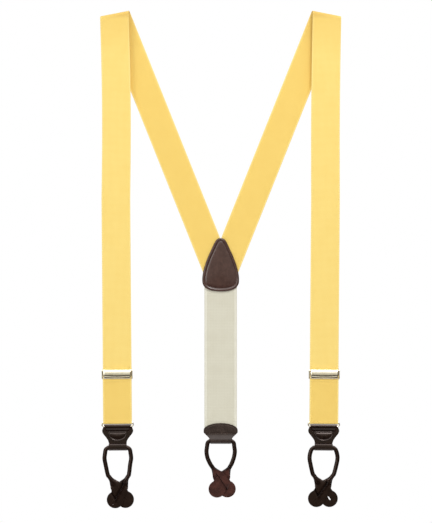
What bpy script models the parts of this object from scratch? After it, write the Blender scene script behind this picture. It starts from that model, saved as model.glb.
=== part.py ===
"""Button-on dress braces with a Y back, folded at the shoulders as they hang.

Metres, +Z up, X across, the fronts facing -Y. The origin is midway between the two shoulder folds, on
the level of the fold axes. Each side's front pieces are built in a frame of their own, on that side's
fold axis, with the strap running down its -Z.
"""

import math

import bmesh
import bpy
import numpy as np

MM = 0.001

# Clearances
GAP = 0.3 * MM                 # between neighbouring pieces
STRAP_GAP = 0.4 * MM           # either side of the strap inside its adjuster

# The whole
SHOULDER_HALF = 127.4 * MM     # centre line to the back strap's middle, at the fold
BACK_DROP = 318.9 * MM         # fold level to the point where the back straps' middles meet
FRONT_DROP = 494.4 * MM        # fold level to the end ring's upper bar
LEAN = math.radians(0.45)      # front straps lean in by this as they go down

# Ribbon and elastic
RIBBON_WIDTH = 35.0 * MM
RIBBON_THICK = 0.9 * MM
FOLD_RADIUS = 3.5 * MM         # to the middle of the ribbon
FRONT_FIRM = 290.0 * MM        # length of front strap that never shortens
TURN_LEG = 2.0 * MM            # straight stretch on either side of the turn round the ring
ELASTIC_WIDTH = 39.6 * MM
ELASTIC_THICK = 1.2 * MM

# Leather patch at the meeting point
PATCH_THICK = 1.6 * MM
PATCH_ABOVE = 48.9 * MM        # apex above the meeting point
PATCH_BELOW = 16.7 * MM        # bottom edge below the meeting point
PATCH_HALF = 22.5 * MM
SEAM_BELOW = 8.1 * MM          # under the patch the ribbons end and the elastic begins

# Adjuster
ADJUSTER_RISE = 59.0 * MM       # adjuster's middle above the end ring's upper bar
ADJUSTER_HEIGHT = 12.2 * MM
PLATE_THICK = 0.8 * MM
EAR_THICK = 0.9 * MM
EAR_FRONT = 5.7 * MM           # how far the ears stand in front of the strap
WINDOW_HEIGHT = 6.0 * MM
WINDOW_MARGIN = 3.5 * MM
BAR_RADIUS = 0.6 * MM
BAR_BELOW = 3.4 * MM           # bar under the adjuster's middle
TAIL_LENGTH = 8.5 * MM         # sewn-back end of the ribbon under its bar
PIN_RADIUS = 0.7 * MM
PIN_ABOVE = 4.0 * MM
KNUCKLE_RADIUS = 1.8 * MM
LEVER_SIDE_GAP = 1.2 * MM      # lever to ear
LEVER_THICK = 0.8 * MM
LEVER_CROWN = 1.2 * MM

# End ring
WIRE_RADIUS = 0.9 * MM
RING_CORNER = 1.9 * MM

# Leather ends
LEATHER = 1.1 * MM
FLAP_THICK = 1.0 * MM
FLAP_HALF = 11.6 * MM
FLAP_TOP = 6.25 * MM           # below the ring's lower bar
FLAP_HEIGHT = 11.8 * MM
FACING_TOP = 2.5 * MM
FACING_BOTTOM = 20.6 * MM
TUNNEL_DROP = 25.8 * MM        # tunnel middle below the ring's lower bar
TUNNEL_HALF = 11.2 * MM
NECK_HALF = 10.8 * MM
SHOULDER_PROUD = 1.3 * MM      # leather shoulders beyond the ribbon's edge
TUCK_LENGTH = 2.2 * MM         # strip's end under the flap's top edge
TUCK_NARROW = 1.6 * MM         # strip narrows by this each side before it leaves the roll
TUCK_EASE = 0.7 * MM           # tucked strip beyond the flap, each side
NOTCH_EASE = 1.3 * MM          # facing's notch beyond the strip that passes through it

# Back end
BACK_TUNNEL_DROP = 517.85 * MM # back tunnel's middle below the fold level
BACK_LEAF = 21.65 * MM         # leaves' top edge above the tunnel's middle
BACK_HALF = 20.8 * MM
BACK_TUNNEL_HALF = 12.4 * MM
ELASTIC_TUCK = 10.8 * MM       # elastic's end above the tunnel's middle

# Button loops
CORD_RADIUS = 2.35 * MM
TAB_THICK = 1.3 * MM
TAB_GAP = 0.5 * MM             # between one tab and the other that passes through it
DISC_RADIUS = 10.3 * MM
TAB_NECK = 8.6 * MM            # half width where the tab runs into its disc
CORD_SHORT = 27.0 * MM         # cord's ends above the discs' middles
CORD_SPREAD = 10.7 * MM        # cord's ends either side of the loop's middle
BUTTONHOLE = 7.0 * MM
BUTTONHOLE_OPEN = 0.7 * MM     # half its opening
SLIT_OPEN = 0.3 * MM           # half the opening of the long slit
EASE = 3.5 * MM                # length over which a tab's halves part
# name: (discs' middle off the centre line, half the discs' spacing, drop to the discs, half bulge)
LOOPS = {
    "left": (2.7 * MM, 6.2 * MM, 63.5 * MM, 16.2 * MM),
    "right": (-0.4 * MM, 7.9 * MM, 62.2 * MM, 17.0 * MM),
    "back": (-1.8 * MM, 6.3 * MM, 59.0 * MM, 17.3 * MM),
}

# Worked out from the sizes above
SLANT = math.atan2(SHOULDER_HALF, BACK_DROP)   # back straps off the vertical
FOLD_TILT = (SLANT + LEAN) / 2                 # fold line off the horizontal
HELIX = (SLANT - LEAN) / 2                     # ribbon off square as it goes round the fold
BACK_Y = FOLD_RADIUS
STRAP_Y = -FOLD_RADIUS
HALF_RIBBON = RIBBON_WIDTH / 2
ADJUSTER_DROP = FRONT_DROP - ADJUSTER_RISE     # fold level to the adjuster's middle
TURN_RADIUS = WIRE_RADIUS + GAP + RIBBON_THICK / 2
RING_Y = STRAP_Y - TURN_RADIUS
ROLL_RADIUS = WIRE_RADIUS + GAP + LEATHER / 2
RING_HEIGHT = TURN_RADIUS + RIBBON_THICK / 2 + GAP + ROLL_RADIUS + LEATHER / 2
TUNNEL_RADIUS = CORD_RADIUS + GAP + LEATHER / 2
ROLL_HALF = HALF_RIBBON - GAP                  # leather's half width where it rolls over the ring's bar
SHOULDER = HALF_RIBBON + SHOULDER_PROUD        # leather's half width at its shoulders
FACING_INSIDE = -ROLL_RADIUS + LEATHER / 2 + GAP   # Y of the facing's inner face
EAR_INSIDE = HALF_RIBBON + GAP
BAR_WRAP = BAR_RADIUS + GAP + RIBBON_THICK / 2
TAIL_Y = STRAP_Y - RIBBON_THICK - STRAP_GAP
BAR_Y = TAIL_Y - BAR_WRAP
RUN_Y = BAR_Y - BAR_WRAP
PIN_Y = STRAP_Y - RIBBON_THICK / 2 - STRAP_GAP - KNUCKLE_RADIUS
LEVER_Y = RUN_Y - RIBBON_THICK / 2 - STRAP_GAP
TAB_OFFSET = TAB_THICK + TAB_GAP
PATCH_OFFSET = ELASTIC_THICK / 2 + GAP + PATCH_THICK / 2

FINISHES = {                   # colour, roughness, metallic
    "ribbon": ((0.93, 0.72, 0.24), 0.75, 0.0),
    "elastic": ((0.68, 0.67, 0.56), 0.85, 0.0),
    "leather": ((0.022, 0.013, 0.010), 0.42, 0.0),
    "brown": ((0.09, 0.065, 0.055), 0.5, 0.0),
    "nickel": ((0.80, 0.78, 0.72), 0.22, 1.0),
}

for thing in list(bpy.data.objects):
    bpy.data.objects.remove(thing, do_unlink=True)
PARTS = bpy.data.collections.new("dress_braces")
CUTTERS = bpy.data.collections.new("cutters")
for group in (PARTS, CUTTERS):
    bpy.context.scene.collection.children.link(group)


# ---------------------------------------------------------------- helpers

def holder(name, parent=None, location=(0, 0, 0), turn_y=0.0, turn_z=0.0):
    """An empty that carries the pieces of one moving body, on that body's axis."""
    carrier = bpy.data.objects.new(name, None)
    PARTS.objects.link(carrier)
    carrier.parent = parent
    carrier.location = location
    carrier.rotation_euler = (0, turn_y, turn_z)
    return carrier


def place(name, mesh, parent, finish):
    """Puts a mesh into the model as one sub-part with a finish of its own."""
    piece = bpy.data.objects.new(name, mesh)
    PARTS.objects.link(piece)
    piece.parent = parent
    colour, roughness, metallic = FINISHES[finish]
    material = bpy.data.materials.new(name + "_finish")
    material.use_nodes = True
    shader = material.node_tree.nodes["Principled BSDF"]
    shader.inputs["Base Color"].default_value = (*colour, 1)
    shader.inputs["Roughness"].default_value = roughness
    shader.inputs["Metallic"].default_value = metallic
    mesh.materials.clear()
    mesh.materials.append(material)
    return piece


def smooth(x):
    """0 below 0, 1 above 1, easing in and out between."""
    x = np.clip(x, 0, 1)
    return x * x * (3 - 2 * x)


def thicken(piece, thickness):
    """Gives an open surface its thickness, half on each side."""
    shell = piece.modifiers.new("thickness", "SOLIDIFY")
    shell.thickness = thickness
    shell.offset = 0
    shell.use_even_offset = True


def band(name, left, right, thickness, parent, finish, trims=()):
    """A strip of ribbon or leather: its left edge extruded to its right edge, trimmed, then thickened."""
    form = bmesh.new()
    chain = [form.verts.new(point) for point in left]
    order = {vertex: n for n, vertex in enumerate(chain)}
    edges = [form.edges.new(pair) for pair in zip(chain, chain[1:])]
    for item in bmesh.ops.extrude_edge_only(form, edges=edges)["geom"]:
        if isinstance(item, bmesh.types.BMVert):
            start = next(e.other_vert(item) for e in item.link_edges if e.other_vert(item) in order)
            item.co = right[order[start]]
    for point, normal in trims:
        everything = form.verts[:] + form.edges[:] + form.faces[:]
        bmesh.ops.bisect_plane(form, geom=everything, plane_co=point, plane_no=normal, clear_outer=True)
    mesh = bpy.data.meshes.new(name)
    form.to_mesh(mesh)
    form.free()
    piece = place(name, mesh, parent, finish)
    thicken(piece, thickness)
    return piece


def strip(name, rows, thickness, parent, finish):
    """A band that lies square across its frame: each row is (y, z, half width)."""
    left = [(-half, y, z) for y, z, half in rows]
    right = [(half, y, z) for y, z, half in rows]
    return band(name, left, right, thickness, parent, finish)


def arc(centre, radius, start, end, steps):
    """Points of an arc in a plane, angles in degrees."""
    angles = np.radians(np.linspace(start, end, steps + 1))
    return [(centre[0] + radius * math.cos(a), centre[1] + radius * math.sin(a)) for a in angles]


def welded(curve_object):
    """The curve object's shape as a closed mesh, in the curve's own axes."""
    depsgraph = bpy.context.evaluated_depsgraph_get()
    mesh = bpy.data.meshes.new_from_object(curve_object.evaluated_get(depsgraph))
    mesh.transform(curve_object.matrix_world)
    bpy.data.objects.remove(curve_object, do_unlink=True)
    form = bmesh.new()
    form.from_mesh(mesh)
    bmesh.ops.remove_doubles(form, verts=form.verts, dist=0.01 * MM)
    form.to_mesh(mesh)
    form.free()
    return mesh


def outline_solid(name, outlines, thickness, turn, parent, finish, shift=(0, 0, 0), rounded=0.0):
    """A flat outline, holes included, extruded to a thickness and turned into its plane."""
    curve = bpy.data.curves.new(name, "CURVE")
    curve.dimensions = "2D"
    curve.fill_mode = "BOTH"
    curve.extrude = thickness / 2 - rounded
    curve.bevel_depth = rounded
    curve.bevel_resolution = 1
    curve.offset = -rounded
    for points in outlines:
        spline = curve.splines.new("POLY")
        spline.points.add(len(points) - 1)
        for point, (a, b) in zip(spline.points, points):
            point.co = (a, b, 0, 1)
        spline.use_cyclic_u = True
    guide = bpy.data.objects.new(name, curve)
    CUTTERS.objects.link(guide)
    guide.rotation_euler = turn
    guide.location = shift
    bpy.context.view_layer.update()
    return place(name, welded(guide), parent, finish)


UPRIGHT = (math.pi / 2, 0, 0)            # outline (x, z), thickness along Y
SIDEWAYS = (math.pi / 2, 0, math.pi / 2)  # outline (y, z), thickness along X


def tube(name, points, radius, parent, finish, closed=False):
    """A round bar or cord along a line of points."""
    curve = bpy.data.curves.new(name, "CURVE")
    curve.dimensions = "3D"
    curve.bevel_depth = radius
    curve.bevel_resolution = 2
    curve.use_fill_caps = not closed
    spline = curve.splines.new("POLY")
    spline.points.add(len(points) - 1)
    for point, co in zip(spline.points, points):
        point.co = (*co, 1)
    spline.use_cyclic_u = closed
    guide = bpy.data.objects.new(name, curve)
    CUTTERS.objects.link(guide)
    bpy.context.view_layer.update()
    piece = place(name, welded(guide), parent, finish)
    piece.data.shade_smooth()
    return piece


def through(keys, per_span):
    """Points of a smooth (Catmull-Rom) curve through the key points, per_span to each span."""
    keys = np.asarray(keys, float)
    ends = np.vstack([2 * keys[0] - keys[1], keys, 2 * keys[-1] - keys[-2]])
    points = []
    for n in range(len(keys) - 1):
        a, b, c, d = ends[n:n + 4]
        for t in np.linspace(0, 1, per_span, endpoint=False):
            points.append(0.5 * (2 * b + (c - a) * t + (2 * a - 5 * b + 4 * c - d) * t**2
                                 + (3 * b - a - 3 * c + d) * t**3))
    return [tuple(point) for point in points + [keys[-1]]]


def cut(piece, cutter_mesh):
    """Takes the cutter's volume out of the piece."""
    cutter = bpy.data.objects.new(piece.name + "_cutter", cutter_mesh)
    CUTTERS.objects.link(cutter)
    cutter.parent = piece.parent
    cutter.hide_render = True
    cutter.display_type = "WIRE"
    removal = piece.modifiers.new("cut", "BOOLEAN")
    removal.operation = "DIFFERENCE"
    removal.object = cutter


def box_mesh(low, high):
    """A box between two corners."""
    form = bmesh.new()
    bmesh.ops.create_cube(form, size=1)
    for vertex in form.verts:
        vertex.co = [low[i] if vertex.co[i] < 0 else high[i] for i in range(3)]
    mesh = bpy.data.meshes.new("box")
    form.to_mesh(mesh)
    form.free()
    return mesh


def rod_mesh(half_length, radius, y, z, sides=16):
    """A cylinder along X."""
    form = bmesh.new()
    bmesh.ops.create_cone(form, cap_ends=True, segments=sides, radius1=radius, radius2=radius,
                          depth=2 * half_length)
    for vertex in form.verts:
        across, up, along = vertex.co
        vertex.co = (along, y + across, z + up)
    mesh = bpy.data.meshes.new("rod")
    form.to_mesh(mesh)
    form.free()
    return mesh


# ---------------------------------------------------------------- ribbon over the shoulder

def fold_frame(side):
    """The fold's centre, its axis (pointing out) and the direction square to it (pointing up)."""
    centre = np.array([side * SHOULDER_HALF, 0, 0])
    axis = np.array([side * math.cos(FOLD_TILT), 0, -math.sin(FOLD_TILT)])
    rise = np.array([side * math.sin(FOLD_TILT), 0, math.cos(FOLD_TILT)])
    return centre, axis, rise


def ribbon_row(side, travel):
    """The ribbon's inner and outer edge points where it has travelled so far up the back and round."""
    centre, axis, rise = fold_frame(side)
    angle = np.clip(travel / FOLD_RADIUS, 0, math.pi)
    height = FOLD_RADIUS * math.sin(angle) + min(travel, 0)
    depth = FOLD_RADIUS * math.cos(angle)
    along = travel * math.tan(HELIX)
    middle = centre + axis * along + rise * height + np.array([0, depth, 0])
    reach = axis * HALF_RIBBON / math.cos(HELIX)
    return middle - reach, middle + reach


def back_ribbon(side, name):
    """The back strap, flat from under the patch to the fold, and the bend at the shoulder."""
    length = (BACK_DROP + HALF_RIBBON) / math.cos(SLANT)
    rows = [ribbon_row(side, travel) for travel in (-length, -GAP / 2)]
    seam = -BACK_DROP - SEAM_BELOW
    trims = [((side * GAP / 2, 0, 0), (-side, 0, 0)), ((0, 0, seam), (0, 0, -1))]
    band("back_strap_" + name, *zip(*rows), RIBBON_THICK, None, "ribbon", trims)
    half_turn = math.pi * FOLD_RADIUS
    rows = [ribbon_row(side, travel) for travel in np.linspace(GAP / 2, half_turn - GAP / 2, 11)]
    band("shoulder_bend_" + name, *zip(*rows), RIBBON_THICK, None, "ribbon")


# ---------------------------------------------------------------- front strap

def front_ribbon(side, name, strap, turn, adjuster):
    """The front strap, its lower run, the turn round the ring and the run back up to the adjuster."""
    top = [-side * x * math.tan(HELIX) - GAP / 2 for x in (-HALF_RIBBON, HALF_RIBBON)]
    left = [(-HALF_RIBBON, STRAP_Y, top[0]), (-HALF_RIBBON, STRAP_Y, -FRONT_FIRM)]
    right = [(HALF_RIBBON, STRAP_Y, top[1]), (HALF_RIBBON, STRAP_Y, -FRONT_FIRM)]
    band("front_strap_" + name, left, right, RIBBON_THICK, strap, "ribbon")

    leg_top = TURN_LEG - FRONT_DROP
    rows = [(STRAP_Y, -FRONT_FIRM - GAP, HALF_RIBBON), (STRAP_Y, leg_top + GAP, HALF_RIBBON)]
    strip("lower_run_" + name, rows, RIBBON_THICK, strap, "ribbon")

    bend = arc((0, 0), TURN_RADIUS, 0, -180, 12)
    rows = [(TURN_RADIUS, TURN_LEG), *bend, (-TURN_RADIUS, TURN_LEG)]
    strip("ribbon_turn_" + name, [(y, z, HALF_RIBBON) for y, z in rows], RIBBON_THICK, turn, "ribbon")

    foot = leg_top + GAP + ADJUSTER_DROP
    bend = arc((BAR_Y, -BAR_BELOW), BAR_WRAP, 180, 0, 10)
    rows = [(RING_Y - TURN_RADIUS, foot), *bend, (TAIL_Y, -BAR_BELOW - TAIL_LENGTH)]
    strip("front_run_" + name, [(y, z, HALF_RIBBON) for y, z in rows], RIBBON_THICK, adjuster, "ribbon")


# ---------------------------------------------------------------- adjuster

def lever_outline():
    """Side view of the lever: a crowned cover that rolls into a knuckle round its pin."""
    foot = -ADJUSTER_HEIGHT / 2 + GAP
    outer = LEVER_Y - LEVER_THICK
    knuckle_top = (PIN_Y, PIN_ABOVE + KNUCKLE_RADIUS)
    t = np.linspace(0, 1, 11)[:, None]
    ends = np.array([knuckle_top, (outer - LEVER_CROWN, knuckle_top[1]), (outer, foot)])
    shell = ends[0] * (1 - t)**2 + 2 * ends[1] * t * (1 - t) + ends[2] * t**2
    start = (PIN_Y + KNUCKLE_RADIUS * math.cos(math.radians(-140)),
             PIN_ABOVE + KNUCKLE_RADIUS * math.sin(math.radians(-140)))
    ends = np.array([(LEVER_Y, foot), (LEVER_Y - LEVER_CROWN / 2, PIN_ABOVE), start])
    lining = ends[0] * (1 - t)**2 + 2 * ends[1] * t * (1 - t) + ends[2] * t**2
    heel = arc((PIN_Y, PIN_ABOVE), KNUCKLE_RADIUS, -125, 80, 12)
    return [tuple(p) for p in shell] + [tuple(p) for p in lining] + heel


def adjuster_pieces(name, adjuster, lever):
    """The frame with its two ears, the ribbon's bar, the lever's pin and the lever."""
    half_height = ADJUSTER_HEIGHT / 2
    back = STRAP_Y + RIBBON_THICK / 2 + STRAP_GAP + PLATE_THICK
    front = STRAP_Y - EAR_FRONT
    outside = EAR_INSIDE + EAR_THICK
    corner = 2.0 * MM
    profile = [(back, -half_height), (back, half_height)]
    profile += arc((front + corner, half_height - corner), corner, 90, 180, 4)
    profile += arc((front + corner, corner - half_height), corner, 180, 270, 4)
    frame = outline_solid("adjuster_frame_" + name, [profile], 2 * outside, SIDEWAYS, adjuster, "nickel")
    past = 2 * half_height
    cut(frame, box_mesh((-EAR_INSIDE, front - past, -past), (EAR_INSIDE, back - PLATE_THICK, past)))
    window = EAR_INSIDE - WINDOW_MARGIN
    cut(frame, box_mesh((-window, back - 2 * PLATE_THICK, -WINDOW_HEIGHT / 2),
                        (window, back + PLATE_THICK, WINDOW_HEIGHT / 2)))
    cut(frame, rod_mesh(2 * outside, PIN_RADIUS + GAP, PIN_Y, PIN_ABOVE))
    cut(frame, rod_mesh(2 * outside, BAR_RADIUS + GAP, BAR_Y, -BAR_BELOW))

    bar = rod_mesh(outside, BAR_RADIUS, BAR_Y, -BAR_BELOW, 12)
    place("adjuster_bar_" + name, bar, adjuster, "nickel")
    pin = rod_mesh(outside + GAP, PIN_RADIUS, PIN_Y, PIN_ABOVE, 12)
    place("adjuster_pin_" + name, pin, adjuster, "nickel")

    width = 2 * (EAR_INSIDE - LEVER_SIDE_GAP)
    bore = arc((PIN_Y, PIN_ABOVE), PIN_RADIUS + GAP, 0, 345, 23)
    outlines = [lever_outline(), bore]
    outlines = [[(y - PIN_Y, z - PIN_ABOVE) for y, z in points] for points in outlines]
    outline_solid("adjuster_lever_" + name, outlines, width, SIDEWAYS, lever, "nickel")


# ---------------------------------------------------------------- ring and leather end

def end_ring(name, ring):
    """The wire ring that joins the ribbon's turn to the leather end, its upper bar on its axis."""
    half = HALF_RIBBON + GAP + WIRE_RADIUS - RING_CORNER
    low, high = RING_CORNER - RING_HEIGHT, -RING_CORNER
    points = []
    for x, z, start in ((half, high, 0), (-half, high, 90), (-half, low, 180), (half, low, 270)):
        points += arc((x, z), RING_CORNER, start, start + 90, 4)
    tube("end_ring_" + name, [(x, 0, z) for x, z in points], WIRE_RADIUS, ring, "nickel", closed=True)


def tucked_half(drop):
    """Half width of the strip on its way from the roll down behind the facing."""
    share = drop / FLAP_TOP
    return (1 - share) * (ROLL_HALF - TUCK_NARROW) + share * (FLAP_HALF + TUCK_EASE)


def end_strip(name, end):
    """The leather strip: from behind the facing over the ring's bar, down the back and round the cord."""
    tuck = FACING_INSIDE + GAP + LEATHER / 2
    leaf = ROLL_RADIUS + 0.1 * MM
    rows = [(tuck, -FLAP_TOP - TUCK_LENGTH, FLAP_HALF + TUCK_EASE)]
    rows += [(tuck, -FLAP_TOP - 0.3 * MM, FLAP_HALF + TUCK_EASE)]
    for y, drop in ((-0.45 * MM, 4.4 * MM), (-1.4 * MM, 1.9 * MM)):
        rows.append((y, -drop, tucked_half(drop)))
    over = arc((0, 0), ROLL_RADIUS, 180, 0, 10)
    widths = np.linspace(ROLL_HALF - TUCK_NARROW, ROLL_HALF, len(over))
    rows += [(y, z, half) for (y, z), half in zip(over, widths)]
    for drop, half in ((2.5, SHOULDER - 0.8 * MM), (4.5, SHOULDER - 0.1 * MM), (6.2, SHOULDER),
                       (8.6, SHOULDER - 0.9 * MM), (12.2, SHOULDER - 3.7 * MM),
                       (15.6, NECK_HALF + 1.7 * MM), (18.2, NECK_HALF + 0.3 * MM)):
        rows.append((leaf, -drop * MM, half))
    rows.append((TUNNEL_RADIUS - 0.5 * MM, -TUNNEL_DROP + 3.6 * MM, NECK_HALF))
    rows += [(y, z, TUNNEL_HALF) for y, z in arc((0, -TUNNEL_DROP), TUNNEL_RADIUS, 0, -180, 12)]
    rows.append((-TUNNEL_RADIUS + 0.1 * MM, -TUNNEL_DROP + 2.6 * MM, NECK_HALF + 0.2 * MM))
    rows.append((-TUNNEL_RADIUS + 0.6 * MM, -FACING_BOTTOM - GAP - LEATHER / 2, NECK_HALF + 0.1 * MM))
    strip("end_leather_" + name, rows, LEATHER, end, "leather")


def end_facing_and_flap(name, end):
    """The shouldered facing on the front, notched for the strip, and the half-round flap sewn over it."""
    notch = [(tucked_half(drop) + NOTCH_EASE, -drop) for drop in (FACING_TOP, FLAP_TOP)]
    half_outline = [(0, -FACING_BOTTOM), (NECK_HALF - 0.6 * MM, -FACING_BOTTOM),
                    (NECK_HALF, -FACING_BOTTOM + 0.6 * MM), (NECK_HALF + 1.2 * MM, -16.4 * MM),
                    (SHOULDER - 4.0 * MM, -12.4 * MM), (SHOULDER - 1.3 * MM, -9.0 * MM),
                    (SHOULDER - 0.2 * MM, -6.4 * MM), (SHOULDER - 0.1 * MM, -4.4 * MM),
                    (SHOULDER - 0.9 * MM, -FACING_TOP), *notch, (0, -FLAP_TOP)]
    outline = half_outline + [(-x, z) for x, z in reversed(half_outline[1:-1])]
    facing_y = FACING_INSIDE - LEATHER / 2
    outline_solid("end_facing_" + name, [outline], LEATHER, UPRIGHT, end, "leather", (0, facing_y, 0))

    flap_y = facing_y - LEATHER / 2 - GAP - FLAP_THICK / 2
    round_part = [(FLAP_HALF * math.cos(a), -FLAP_TOP - FLAP_HEIGHT * math.sin(a)**0.9)
                  for a in np.linspace(0, math.pi, 25)]
    outline_solid("end_flap_" + name, [round_part], FLAP_THICK, UPRIGHT, end, "leather", (0, flap_y, 0))


# ---------------------------------------------------------------- button loops

class Loop:
    """The two tabs of a button loop, laid out in the loop's own frame, seen from the grain side.

    The slit tab comes from the right and ends in the lower left disc; the plain tab comes from the
    left, passes through the other's slit from the front to the back, and ends in the right disc.
    """

    def __init__(self, name):
        sway, spread, drop, self.bulge = LOOPS[name]
        lean = 0.26 * sway
        level = CORD_SHORT - drop
        self.ends = {-1: np.array([lean - CORD_SPREAD, level]), 1: np.array([lean + CORD_SPREAD, level])}
        self.plain = self.layout(self.ends[-1], np.array([sway + spread, -drop]))
        self.slit = self.layout(self.ends[1], np.array([sway - spread, -drop]))
        self.heading = {-1: self.plain["along"], 1: self.slit["along"]}
        middle = np.linspace(0, self.slit["length"], 400)
        x, z = self.point(self.slit, middle, 0 * middle)
        outside, upper = self.past_plain(x, z)
        self.slit_top = middle[upper & (outside > GAP + EASE)].max()
        self.slit_exit = middle[upper | (outside < GAP)].max()
        self.slit_foot = self.slit_exit + EASE

    @staticmethod
    def layout(start, disc):
        run = disc - start
        length = float(np.hypot(*run))
        along = run / length
        return {"start": start, "length": length, "along": along, "across": np.array([-along[1], along[0]])}

    @staticmethod
    def half_width(tab, u):
        """Flares from the cord to the disc's flank, then follows the disc."""
        length = tab["length"]
        part = np.clip(u / length, 0, 1)
        flare = CORD_RADIUS + (TAB_NECK - CORD_RADIUS) * (1 - (1 - part)**3)
        disc = np.sqrt(np.clip(DISC_RADIUS**2 - (u - length)**2, 0, None))
        return np.where(u < length, np.maximum(flare, disc), disc)

    @staticmethod
    def point(tab, u, v):
        x = tab["start"][0] + tab["along"][0] * u + tab["across"][0] * v
        z = tab["start"][1] + tab["along"][1] * u + tab["across"][1] * v
        return x, z

    @staticmethod
    def local(tab, x, z):
        x, z = x - tab["start"][0], z - tab["start"][1]
        return (x * tab["along"][0] + z * tab["along"][1],
                x * tab["across"][0] + z * tab["across"][1])

    def past_plain(self, x, z):
        """How far a point lies outside the plain tab's outline, and whether on its upper side."""
        u, v = self.local(self.plain, x, z)
        beside = np.abs(v) - self.half_width(self.plain, u)
        length = self.plain["length"]
        round_end = np.hypot(u - length, v) - DISC_RADIUS
        return np.where(u < length, np.minimum(beside, np.maximum(round_end, beside)), round_end), v > 0

    def plain_height(self, x, z):
        """Y of the plain tab: in front before the slit, behind after it."""
        u, _ = self.local(self.plain, x, z)
        _, beside = self.local(self.slit, x, z)
        side = np.clip(beside / (3 * MM), -1, 1)
        return TAB_OFFSET / 2 * side * (1.5 - 0.5 * side**2) * smooth(u / (8 * MM))

    def slit_height(self, x, z, u, half):
        """Y of the slit tab: its left half passes behind the plain tab, its right half in front."""
        outside, upper = self.past_plain(x, z)
        plain = self.plain_height(x, z)
        near = 1 - smooth((outside - GAP) / EASE)
        base = np.where(upper, 0, -TAB_OFFSET / 2)
        ahead = near * (plain - TAB_OFFSET) + (1 - near) * base
        behind_upper = near * (plain + TAB_OFFSET)
        gone = np.maximum(1 - near, smooth((u - self.slit_exit) / EASE))
        behind_lower = (1 - gone) * (plain + TAB_OFFSET) + gone * ahead
        behind = np.where(upper, behind_upper, behind_lower)
        return np.where(half < 0, behind, ahead)


def tab(name, loop, which, parent, finish):
    """One flat tab: a grid laid out along the tab, opened at its slits, bent and thickened."""
    plan = getattr(loop, which)
    length = plan["length"]
    rows_along, columns = 20, 8
    reach = list(np.linspace(2 * GAP, length, rows_along - 5))
    reach += [length + DISC_RADIUS * math.sin(math.radians(a)) for a in (18, 36, 52, 67, 80)]
    form = bmesh.new()
    grid = [[form.verts.new((u, k / columns * 2 - 1, 0)) for k in range(columns + 1)] for u in reach]
    for near, far in zip(grid, grid[1:]):
        for k in range(columns):
            form.faces.new((near[k], near[k + 1], far[k + 1], far[k]))
    slits = [(length - 0.55 * BUTTONHOLE, length + 0.45 * BUTTONHOLE, BUTTONHOLE_OPEN)]
    if which == "slit":
        slits = [(loop.slit_top, loop.slit_foot, SLIT_OPEN),
                 (loop.slit_foot + 2 * MM, loop.slit_foot + 2 * MM + 0.7 * BUTTONHOLE, BUTTONHOLE_OPEN)]
    middle = columns // 2
    for start, end, _ in slits:
        inside = [n for n, u in enumerate(reach) if start <= u <= end]
        first, last = inside[0] - 1, inside[-1] + 1
        edges = [form.edges.get((grid[n][middle], grid[n + 1][middle])) for n in range(first, last)]
        bmesh.ops.split_edges(form, edges=edges)
    for vertex in form.verts:
        u, share = vertex.co.x, vertex.co.y
        half = np.mean([face.calc_center_median().y for face in vertex.link_faces])
        vertex.co.z = np.sign(half) if abs(share) < 1e-6 and len(vertex.link_faces) < 4 else np.sign(share)
    for vertex in form.verts:
        u, share, half = vertex.co
        v = share * float(loop.half_width(plan, u))
        if abs(share) < 1e-6 and half:
            opening = max(size * math.sin(math.pi * min(max((u - start) / (end - start), 0.15), 0.85))
                          for start, end, size in slits if start - 3 * MM < u < end + 3 * MM)
            v = half * opening
        x, z = loop.point(plan, u, v)
        if which == "plain":
            y = float(loop.plain_height(x, z))
        else:
            y = float(loop.slit_height(x, z, u, half))
        vertex.co = (x, y, z)
    mesh = bpy.data.meshes.new(name)
    form.to_mesh(mesh)
    form.free()
    piece = place(name, mesh, parent, finish)
    thicken(piece, TAB_THICK)


def button_loop(name, prefix, parent, tunnel_half):
    """The rolled leather cord through the tunnel, and the flat tab on each of its ends."""
    loop = Loop(name)
    halves = {}
    for side in (-1, 1):
        end = loop.ends[side]
        keys = [(side * (tunnel_half + 0.4 * MM), 0), (side * (tunnel_half + 3.4 * MM), -2.6 * MM),
                (side * (loop.bulge - 0.6 * MM), -7.6 * MM), (side * loop.bulge, -13.5 * MM),
                (side * (loop.bulge - 1.3 * MM), -21.0 * MM),
                tuple(end - 4 * MM * loop.heading[side]), tuple(end)]
        halves[side] = through(keys, 3)
    inside = [(side * 0.5 * tunnel_half, 0) for side in (-1, 1)]
    route = halves[-1][::-1] + inside + halves[1]
    tube(prefix + "loop_cord", [(x, 0, z) for x, z in route], CORD_RADIUS, parent, "leather")
    for which in ("slit", "plain"):
        tab(prefix + "tab_" + which, loop, which, parent, "leather")


# ---------------------------------------------------------------- back pieces

def patch_outline():
    """Rounded triangle: a round apex, slightly full sides and a shallow curve along the bottom."""
    height = PATCH_ABOVE + PATCH_BELOW
    # share of the half width, share of the height down from the apex
    shares = [(0, 0), (0.15, 0.015), (0.30, 0.068), (0.50, 0.21), (0.685, 0.35), (0.835, 0.49), (0.95, 0.63),
              (1, 0.76), (0.97, 0.86), (0.83, 0.93), (0.60, 0.972), (0.30, 0.994), (0, 1)]
    right = through([(a * PATCH_HALF, PATCH_ABOVE - b * height) for a, b in shares], 3)
    return right + [(-x, z) for x, z in reversed(right[1:-1])]


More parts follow.
